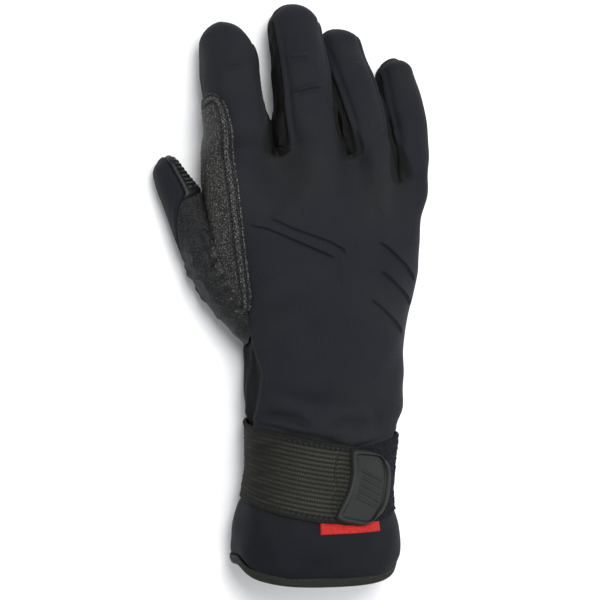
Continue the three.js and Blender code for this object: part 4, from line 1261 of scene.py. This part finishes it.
def tab_grid(rows, columns):
    """The tab's outline on the wrist. The square of its shares is bent, so that its corners are curves."""
    a = lerp(-1, 1, ease(rows, 0.45))[:, None] + np.zeros(columns)
    b = lerp(-1, 1, ease(columns, 0.45)) + np.zeros((rows, 1))
    size = (np.abs(a) ** 5 + np.abs(b) ** 5) ** 0.2
    turn = np.maximum(np.abs(a), np.abs(b)) / np.maximum(size, 1e-9)
    a, b = 0.5 + 0.5 * a * turn, 0.5 + 0.5 * b * turn
    left, left_y, right, right_y = curve(TAB_SIDES, a)
    return hand_point(lerp(left, right, b), lerp(left_y, right_y, b))


def build_tab(materials):
    """Moulded tab: a rounded rim, a groove inside it, and a sunken face that swells a little, with bars that
    lie aslant at an even pitch."""
    base = tab_grid(*TAB_CELLS)
    u, v = grid_lengths(base)
    edge = edge_distance(base, 7)
    rim = quarter_round(edge, 1.2) * (1 - smooth((edge - RIM_WIDTH + 0.7) / 0.8))
    height = TAB_FACE * quarter_round(edge, 0.6) + (TAB_RIM - TAB_FACE) * rim
    height = height - 0.35 * bell(edge - RIM_WIDTH - 0.3, 0.45)
    slant = (v - v[-1:] * 0.5) + 0.35 * (u - u[:, -1:] * 0.5)
    number = np.round(slant / GRIP_PITCH)
    bar = smooth((0.95 - np.abs(slant - number * GRIP_PITCH)) / 0.5) * (np.abs(number) <= (GRIP_RIBS - 1) / 2)
    height += 0.55 * bar * smooth((edge - RIM_WIDTH - 2.0) / 0.6)
    height += 0.15 * np.sin(np.pi * v / v[-1:]) * np.sin(np.pi * u / u[:, -1:])
    make_layer(
        "pull_tab_moulded", base, grid_normals(base), TAB_BASE, TAB_BASE + height, materials, "pull_tab",
        {"edge": edge},
    )


def build_label(materials):
    """Folded woven label, bare, sewn on under the strap: a strip with rounded edges over the cuff's slack."""
    rows, columns = LABEL_CELLS
    degrees = np.linspace(LABEL_EDGES[-1][0], LABEL_EDGES[0][0], columns)
    low, high = curve(LABEL_EDGES, degrees)
    y = lerp(low + 1.3, high + 1.9, ease(rows, 0.4)[:, None])
    base = hand_point(np.broadcast_to(degrees, LABEL_CELLS), y)
    bottom = soft_relief(base) + LAYER_GAP
    height = bottom + LABEL_THICKNESS * quarter_round(edge_distance(base, 8), 0.5)
    height += 0.08 * ripple(base, 9, 10)
    make_layer("label_woven", base, grid_normals(base), bottom, height + 0.2, materials, "label")


# Section of the hem tape, out from the skin and up from the hem, once round
TAPE_SECTION = np.array([
    [0.15, 3.4], [0.4, 3.7], [0.7, 3.5], [0.85, 3.0], [0.95, 2.0], [0.95, 0.6], [0.8, -0.2], [0.4, -0.6],
    [-0.3, -0.8], [-1.6, -0.85], [-2.9, -0.8], [-3.6, -0.6], [-4.0, -0.2], [-4.1, 0.6], [-4.1, 2.0],
    [-4.1, 3.2], [-3.9, 3.75], [-3.5, 3.95], [-3.15, 3.6], [-3.1, 2.0], [-3.1, 0.4], [-2.8, -0.12],
    [-1.6, -0.15], [-0.2, -0.12], [0.1, 0.4], [0.12, 2.0], [0.15, 3.4],
])
TAPE_TURNS = 52


def build_tape(materials):
    """Binding folded round the hem: its section is carried once round the cuff's edge, a little uneven in
    thickness and drawn in along its stitches."""
    edge, _, _, above = sleeve_grid()[0][:4, :-1]
    upward = unit(above - edge)
    normal = unit(np.cross(np.roll(edge, -1, 0) - np.roll(edge, 1, 0), upward))
    steps = run_lengths(TAPE_SECTION)
    fine = np.linspace(0, steps[-1], TAPE_TURNS + 1)[:-1]
    out, up = (np.interp(fine, steps, TAPE_SECTION[:, k]) for k in range(2))
    out = out - HEM_PRESS * (out > -2)
    uneven = 0.12 * ripple(edge, 13, 15)[:, None] * (up > 1)
    pull = -0.22 * bell(up - 2.7, 0.6) * (out > 0.8)
    out = (out + pull + uneven)[..., None]
    points = edge[:, None] + normal[:, None] * out + upward[:, None] * up[None, :, None]
    points[..., 2] = np.maximum(points[..., 2], 0)
    ids = np.arange(len(edge) * TAPE_TURNS).reshape(len(edge), TAPE_TURNS)
    faces = halved(cells(np.pad(ids, ((0, 1), (0, 1)), mode="wrap")))
    place = np.stack(np.broadcast_arrays(run_lengths(edge)[:, None], fine[None]), -1).reshape(-1, 2)
    points = points.reshape(-1, 3)
    make_piece("hem_binding_tape", points, faces, place[faces], materials["hem_binding"], "hem_binding")
    line = edge + normal * (0.72 - HEM_PRESS) + upward * 2.6
    around = [np.concatenate([ring, ring[:1]]) for ring in (line, normal)]
    add_stitches("hem_stitches", [stitch_line(*around, 2.7, 2.0, 0.26, 0.02)], materials["thread"])


def linear(colour):
    """An sRGB hex colour as linear values with an alpha of 1."""
    parts = [int(colour[i:i + 2], 16) / 255 for i in (1, 3, 5)]
    return [x / 12.92 if x <= 0.04045 else ((x + 0.055) / 1.055) ** 2.4 for x in parts] + [1.0]


def add_node(tree, kind, inputs=None, out=0, **properties):
    """Adds a shader node, sets its properties, links or sets each named or numbered input, and returns the
    named or numbered output."""
    made = tree.nodes.new("ShaderNode" + kind)
    for name, value in properties.items():
        setattr(made, name, value)
    for socket, value in (inputs or {}).items():
        if isinstance(value, bpy.types.NodeSocket):
            tree.links.new(value, made.inputs[socket])
        else:
            made.inputs[socket].default_value = value
    return made.outputs[out]


def new_material(name, sockets):
    """A material whose even values are set on its shader's own sockets, and what adds nodes to it."""
    material = bpy.data.materials.new(name)
    material.use_nodes = True
    for socket, value in sockets.items():
        material.node_tree.nodes["Principled BSDF"].inputs[socket].default_value = value
    return material, functools.partial(add_node, material.node_tree)


def coat(material, ground, layers, height=None, strength=0.0, depth=0.0):
    """Lays each hex colour over those before it by its share, from 0 to 1, and gives the shader the result
    and the relief of a height, whose depth is in metres."""
    tree = material.node_tree
    shader = tree.nodes["Principled BSDF"]
    colour = linear(ground)
    for share, hue in layers:
        colour = add_node(tree, "Mix", {0: share, 6: colour, 7: linear(hue)}, 2, data_type="RGBA")
    tree.links.new(colour, shader.inputs["Base Color"])
    if height is not None:
        normal = add_node(tree, "Bump", {"Height": height, "Strength": strength, "Distance": depth})
        tree.links.new(normal, shader.inputs["Normal"])
    return material


def jersey(name, base, shade, bright, roughness, wale, course, relief):
    """Polyester jersey laminated to foam rubber: matt and near black, in broad patches of two near shades,
    with upright wales and finer courses across them, and a soft bloom of short fibres where the face turns
    away. Real stitches are about 0.5 mm apart. They are drawn at wale and course millimetres, as coarse as
    they need to show, and the stray fibres at 0.7 mm. The patches are 38 mm across."""
    material, add = new_material(name, {
        "Roughness": roughness, "Specular IOR Level": 0.11, "Sheen Weight": 0.04, "Sheen Roughness": 0.4,
        "Sheen Tint": linear("#8A8FA0"),
    })
    cloth = add("Attribute", out="Vector", attribute_name="cloth")
    place = add("TexCoord", out="Object")
    across = add("SeparateXYZ", {0: cloth}, "X")
    along = across.node.outputs["Y"]
    wander = add("TexNoise", {"Vector": cloth, "Scale": 0.12, "Detail": 2.0})
    bend = add("Math", {0: wander, 1: 3.0, 2: across}, operation="MULTIPLY_ADD")
    wales = add("Math", {0: bend, 1: TURN / wale}, operation="MULTIPLY")
    wales = add("Math", {0: wales}, operation="SINE")
    courses = add("Math", {0: along, 1: TURN / course}, operation="MULTIPLY")
    courses = add("Math", {0: courses}, operation="SINE")
    knit = add("Math", {0: courses, 1: 0.6, 2: wales}, operation="MULTIPLY_ADD")
    fuzz = add("TexNoise", {"Vector": place, "Scale": 1400.0, "Detail": 3.0})
    patches = add("TexNoise", {"Vector": place, "Scale": 26.0, "Detail": 3.0, "Roughness": 0.5})
    patches = add("MapRange", {"Value": patches, "From Min": 0.38, "From Max": 0.64})
    crests = add("MapRange", {"Value": knit, "From Min": -0.6, "From Max": 1.6, "To Max": 0.35})
    fibres = add("MapRange", {"Value": fuzz, "From Min": 0.62, "From Max": 0.74, "To Max": 0.3})
    foot = add("Attribute", out="Fac", attribute_name="foot")
    # Painted shade along the back's pressed lines and wrist folds, laid on last in near black
    pressed = add("Attribute", out="Fac", attribute_name="pressed")
    pressed = add("Math", {0: pressed, 1: 0.3}, operation="MULTIPLY")
    height = add("Math", {0: fuzz, 1: 1.2, 2: knit}, operation="MULTIPLY_ADD")
    layers = [(patches, shade), (crests, bright), (fibres, bright), (foot, "#141513"), (pressed, "#0A0B0E")]
    return coat(material, base, layers, height, 0.5, relief)


def pebbled_leather():
    """Synthetic leather with an embossed pebble print, of the palm: rounded grains that catch the light on a
    dark ground. The grains are 0.75 mm apart, as on the real cloth, and the clouds in the ground 17 mm."""
    material, add = new_material("pebbled_leather_palm", {"Roughness": 0.65, "Specular IOR Level": 0.2})
    place = add("TexCoord", out="Object")
    cells = add("TexVoronoi", {"Vector": place, "Scale": 1000.0 / 0.75}, "Distance")
    dome = add("MapRange", {"Value": cells, "From Min": 0.6, "From Max": 0.15})
    clouds = add("TexNoise", {"Vector": place, "Scale": 60.0, "Detail": 4.0})
    tone = add("SeparateColor", {0: cells.node.outputs["Color"]})
    tone = add("MapRange", {"Value": tone, "From Min": 0.1, "From Max": 1.0})
    grains = add("Math", {0: dome, 1: tone}, operation="MULTIPLY")
    return coat(material, "#0C0D0E", [(clouds, "#19191A"), (grains, "#373839")], dome, 0.7, 0.0002)


def guard_leather():
    """Embossed synthetic leather of the guard: olive-black ground and grey grains with a painted highlight
    on their tops, strongest in the band beside its stitched edge and faint where it turns to the palm, and
    painted shade in its grooves and along its fold. The grains come with the mesh, 0.95 mm apart. Between
    them are real grains of 0.7 mm and dust of 1.1 mm, drawn coarser than it is."""
    material, add = new_material("pebbled_leather_guard", {"Roughness": 0.6, "Specular IOR Level": 0.25})
    place = add("TexCoord", out="Object")
    marks = ("grain", "shade", "rim", "across", "groove")
    grain, shade, rim, across, groove = (add("Attribute", out="Fac", attribute_name=mark) for mark in marks)
    turned = add("MapRange", {"Value": across, "From Min": 0.35, "From Max": 0.75})
    fine = add("TexNoise", {"Vector": place, "Scale": 900.0, "Detail": 3.0})
    dust = add("MapRange", {"Value": fine, "From Min": 0.4, "From Max": 0.8, "To Max": 0.6})
    cells = add("TexVoronoi", {"Vector": place, "Scale": 1400.0}, "Distance")
    small = add("MapRange", {"Value": cells, "From Min": 0.55, "From Max": 0.15})
    tone = add("SeparateColor", {0: cells.node.outputs["Color"]})
    rare = add("Math", {0: tone, 1: 2.2}, operation="POWER")
    small = add("Math", {0: small, 1: rare}, operation="MULTIPLY")
    often = add("Math", {0: turned, 1: 0.4, 2: 0.5}, operation="MULTIPLY_ADD")
    often = add("Math", {0: rim, 1: 0.3, 2: often}, operation="MULTIPLY_ADD")
    least = add("Math", {0: 1.0, 1: often}, operation="SUBTRACT")
    chosen = add("MapRange", {"Value": shade, "From Min": least, "From Max": 1.0})
    # Painted highlight on the grain tops, brighter in the rim band and on the back
    top = add("MapRange", {"Value": grain, "From Min": 0.35, "From Max": 0.8})
    lit = add("Math", {0: top, 1: chosen}, operation="MULTIPLY")
    bright = add("Math", {0: rim, 1: 0.5, 2: 0.45}, operation="MULTIPLY_ADD")
    lit = add("Math", {0: lit, 1: bright}, operation="MULTIPLY")
    ground = [(turned, "#050606"), (dust, "#262622"), (small, "#6E6E6A")]
    # Then the painted highlight on the grain tops, and the painted shade in the grooves and the fold
    return coat(material, "#191915", [*ground, (lit, "#747472"), (groove, "#030303")], fine, 0.5, 0.00012)


def ribbed_rubber():
    """Moulded rubber print on the thumb's pad: satin black, with a painted highlight along the crests
    of its ridges and a dusty grain of 0.9 mm between them, drawn coarser than it is."""
    material, add = new_material("ribbed_rubber_grip", {"Roughness": 0.5, "Specular IOR Level": 0.25})
    place = add("TexCoord", out="Object")
    grain = add("TexNoise", {"Vector": place, "Scale": 1100.0, "Detail": 3.0})
    rib = add("Attribute", out="Fac", attribute_name="rib")
    # Painted highlight on the crests of the ribs
    crest_highlight = add("MapRange", {"Value": rib, "From Min": 0.45, "From Max": 0.95, "To Max": 0.85})
    return coat(material, "#0B0C0D", [(grain, "#161718"), (crest_highlight, "#5A5B5A")], grain, 0.5, 0.0001)


def stretch_cloth(name, dark, light):
    """Warp-knit stretch cloth of the side strips: near black and dull, with lengthwise ribs. Real ribs are
    0.3 mm apart. They are drawn at 0.8 mm, and the yarn's unevenness at 2 mm."""
    material, add = new_material(name, {"Roughness": 0.7, "Specular IOR Level": 0.08})
    cloth = add("Attribute", out="Vector", attribute_name="cloth")
    place = add("TexCoord", out="Object")
    across = add("SeparateXYZ", {0: cloth}, "X")
    ribs = add("Math", {0: across, 1: TURN / 0.8}, operation="MULTIPLY")
    ribs = add("Math", {0: ribs}, operation="SINE")
    grain = add("TexNoise", {"Vector": place, "Scale": 500.0, "Detail": 4.0})
    height = add("Math", {0: grain, 1: 1.0, 2: ribs}, operation="MULTIPLY_ADD")
    return coat(material, dark, [(grain, light)], height, 0.4, 0.00006)


def woven_elastic():
    """Woven elastic: olive-black polyester ribs with a painted highlight on their knots, and dark rubber in
    the grooves. Ribs and knots come with the mesh. The threads are 0.7 mm, drawn coarser, and the
    patches in which the painted highlight is stronger 11 mm."""
    material, add = new_material("woven_elastic", {"Roughness": 0.85, "Specular IOR Level": 0.18})
    place = add("TexCoord", out="Object")
    rib = add("Attribute", out="Fac", attribute_name="rib")
    knot = add("Attribute", out="Fac", attribute_name="knot")
    threads = add("TexNoise", {"Vector": place, "Scale": 1500.0, "Detail": 2.0})
    patches = add("TexNoise", {"Vector": place, "Scale": 90.0, "Detail": 3.0})
    # Painted highlight on the knots of the ribs, stronger in patches
    lit = add("Math", {0: rib, 1: knot}, operation="MULTIPLY")
    lit = add("Math", {0: lit, 1: patches}, operation="MULTIPLY")
    fleck = add("MapRange", {"Value": threads, "From Min": 0.55, "From Max": 0.8, "To Max": 0.4})
    layers = [(rib, "#22221F"), (lit, "#4F4F45"), (fleck, "#3C3C34")]
    return coat(material, "#121310", layers, threads, 0.6, 0.00012)


def loop_fabric():
    """Brushed nylon loops of the landing: a dull navy nap, broken by darker tufts. A tuft is 1.1 mm and the
    nap 1.4 mm, about three times the real loops, so that they show."""
    material, add = new_material("brushed_loop_fabric", {
        "Roughness": 0.95, "Specular IOR Level": 0.1, "Sheen Weight": 0.06, "Sheen Roughness": 0.6,
        "Sheen Tint": linear("#6C7080"),
    })
    place = add("TexCoord", out="Object")
    tufts = add("TexVoronoi", {"Vector": place, "Scale": 900.0}, "Distance")
    nap = add("TexNoise", {"Vector": place, "Scale": 700.0, "Detail": 5.0, "Roughness": 0.7})
    height = add("Math", {0: nap, 1: 1.4, 2: tufts}, operation="MULTIPLY_ADD")
    lit = add("MapRange", {"Value": height, "From Min": 0.6, "From Max": 1.5})
    return coat(material, "#0C0C10", [(lit, "#1A1B20")], height, 0.9, 0.0003)


def woven_tape(name, dark, light, pitch, roughness):
    """Ribbed woven polyester: dull, with close ribs across its length and a thread's unevenness. The pitch of
    the ribs is in millimetres, about twice the real one, and the threads are drawn at 1.1 mm."""
    material, add = new_material(name, {"Roughness": roughness, "Specular IOR Level": 0.2})
    cloth = add("Attribute", out="Vector", attribute_name="cloth")
    place = add("TexCoord", out="Object")
    across = add("SeparateXYZ", {0: cloth}, "X")
    ribs = add("Math", {0: across, 1: TURN / pitch}, operation="MULTIPLY")
    ribs = add("Math", {0: ribs}, operation="SINE")
    rows = add("Math", {0: across.node.outputs["Y"], 1: TURN / (pitch * 0.8)}, operation="MULTIPLY")
    rows = add("Math", {0: rows}, operation="SINE")
    weave = add("Math", {0: ribs, 1: rows}, operation="MULTIPLY")
    threads = add("TexNoise", {"Vector": place, "Scale": 900.0, "Detail": 3.0})
    lit = add("Math", {0: weave, 1: 0.35, 2: threads}, operation="MULTIPLY_ADD")
    lit = add("MapRange", {"Value": lit, "From Min": 0.15, "From Max": 0.85})
    return coat(material, dark, [(lit, light)], lit, 0.6, 0.00012)


def moulded_rubber():
    """Injection-moulded rubber of the tab: an even satin grey with a spark-eroded grain, paler along its edge.
    The grain is 0.6 mm, drawn coarser than it is, and the patches of the paler edge 8 mm."""
    material, add = new_material("moulded_rubber", {"Roughness": 0.6, "Specular IOR Level": 0.22})
    place = add("TexCoord", out="Object")
    edge = add("Attribute", out="Fac", attribute_name="edge")
    grain = add("TexNoise", {"Vector": place, "Scale": 1600.0, "Detail": 2.0})
    paler_edge = add("MapRange", {"Value": edge, "From Min": 2.4, "From Max": 0.6, "To Max": 0.35})
    patches = add("TexNoise", {"Vector": place, "Scale": 120.0, "Detail": 3.0})
    paler_edge = add("Math", {0: paler_edge, 1: patches}, operation="MULTIPLY")
    return coat(material, "#191B1A", [(grain, "#232524"), (paler_edge, "#3A3C3A")], grain, 0.4, 0.00006)


def polyester_thread():
    """Twisted polyester sewing thread: dark, with a faint lustre on its turns, which are drawn at 0.6 mm."""
    material, add = new_material("polyester_thread", {"Roughness": 0.45, "Specular IOR Level": 0.4})
    place = add("TexCoord", out="Object")
    twist = add("TexNoise", {"Vector": place, "Scale": 1800.0, "Detail": 1.0})
    return coat(material, "#08090A", [(twist, "#16171A")])


def floor_paper():
    """Matt paper of the floor, almost white, with a cloudiness of 3 mm."""
    material, add = new_material("matt_paper_floor", {"Roughness": 0.9, "Specular IOR Level": 0.1})
    place = add("TexCoord", out="Object")
    grain = add("TexNoise", {"Vector": place, "Scale": 300.0, "Detail": 2.0})
    return coat(material, "#F4F4F4", [(grain, "#F9F9F9")])


def all_materials():
    """Every piece's finish by the name of its node, and the thread."""
    back = jersey("jersey_foam_rubber_back", "#15171D", "#1B1C1D", "#25262C", 0.72, 0.95, 0.8, 0.00007)
    side = stretch_cloth("warp_knit_stretch_cloth", "#090A0A", "#131411")
    grip = pebbled_leather()
    return {
        "back_panel": back, "thumb_back": back,
        "cuff": jersey("jersey_foam_rubber_cuff", "#0D0F14", "#121317", "#1C1E24", 0.68, 0.85, 0.7, 0.00005),
        "palm_panel": grip, "thumb_web": grip, "index_guard": guard_leather(), "thumb_pad": ribbed_rubber(),
        # Gusset: the side strips' black cloth, made bluer, and darker as painted shade of its recess
        "wrist_gusset": stretch_cloth("warp_knit_cloth_gusset_painted_shade", "#07080C", "#0F1116"),
        "fourchette_index_middle": side, "fourchette_middle_ring": side, "fourchette_ring_little": side,
        "wrist_strap": woven_elastic(), "strap_landing": loop_fabric(),
        "hem_binding": woven_tape("ribbed_polyester_tape", "#121310", "#24251F", 0.9, 0.75),
        "label": woven_tape("woven_red_label", "#8A1210", "#BE2822", 0.6, 0.65),
        "pull_tab": moulded_rubber(), "thread": polyester_thread(),
    }


# The photograph's view in metres: turned 20 degrees to the thumb side, looking down on the back of the hand
CAMERA_TURN = math.radians(20)
CAMERA_DISTANCE = 1.4
FRAME_WIDTH = 0.282
SENSOR = 36.0
FRAME_SHIFT = 0.0075
MIDDLE_HEIGHT = 0.025
MIDDLE_Y = 0.0022
FLOOR_HALF = 6.0
FLOOR_GAP = 0.0002
# Soft studio lights: name, place, size and watts, then the place they look at and the surround's strength
LIGHTS = [
    ("key", (-0.25, 0.45, 1.4), 0.6, 20.0),
    ("fill", (1.2, -0.1, 0.8), 0.9, 8.5),
    ("low", (0.2, -1.2, 0.9), 0.9, 1.5),
]
LIT_PLACE = Vector((0, 0, 0.02))
SURROUND_STRENGTH = 0.6


def add_camera():
    """A long lens, whose focal length is the sensor's width times the distance over the frame's width."""
    toward = Vector((-math.sin(CAMERA_TURN), 0, math.cos(CAMERA_TURN)))
    right = Vector((math.cos(CAMERA_TURN), 0, math.sin(CAMERA_TURN)))
    target = Vector((0, MIDDLE_Y, MIDDLE_HEIGHT)) - right * FRAME_SHIFT
    data = bpy.data.cameras.new("camera")
    data.sensor_width = SENSOR
    data.lens = SENSOR * CAMERA_DISTANCE / FRAME_WIDTH
    camera = bpy.data.objects.new("camera", data)
    turned = Matrix((right, Vector((0, 1, 0)), toward)).transposed().to_4x4()
    turned.translation = target + toward * CAMERA_DISTANCE
    camera.matrix_world = turned
    bpy.context.scene.collection.objects.link(camera)
    bpy.context.scene.camera = camera


def add_stage():
    """A wide pale floor under the glove, square lights that look at its middle, and a pale surround."""
    corners = [(x * FLOOR_HALF, y * FLOOR_HALF, -FLOOR_GAP) for x, y in ((-1, -1), (1, -1), (1, 1), (-1, 1))]
    mesh = bpy.data.meshes.new("floor")
    mesh.from_pydata(corners, [], [(0, 1, 2, 3)])
    mesh.materials.append(floor_paper())
    floor = bpy.data.objects.new("floor", mesh)
    bpy.context.scene.collection.objects.link(floor)
    for name, place, size, power in LIGHTS:
        data = bpy.data.lights.new(name, "AREA")
        data.size = size
        data.energy = power
        light = bpy.data.objects.new(name, data)
        light.location = place
        light.rotation_euler = (LIT_PLACE - Vector(place)).to_track_quat("-Z", "Y").to_euler()
        bpy.context.scene.collection.objects.link(light)
    world = bpy.data.worlds.new("surround")
    world.use_nodes = True
    world.node_tree.nodes["Background"].inputs["Color"].default_value = linear("#F2F4F8")
    world.node_tree.nodes["Background"].inputs["Strength"].default_value = SURROUND_STRENGTH
    bpy.context.scene.world = world
    bpy.context.scene.view_settings.view_transform = "Standard"


materials = all_materials()
for build in (
    build_hand, build_thumb, build_guard, build_strap, build_landing, build_tab, build_label, build_tape,
):
    build(materials)
add_camera()
add_stage()
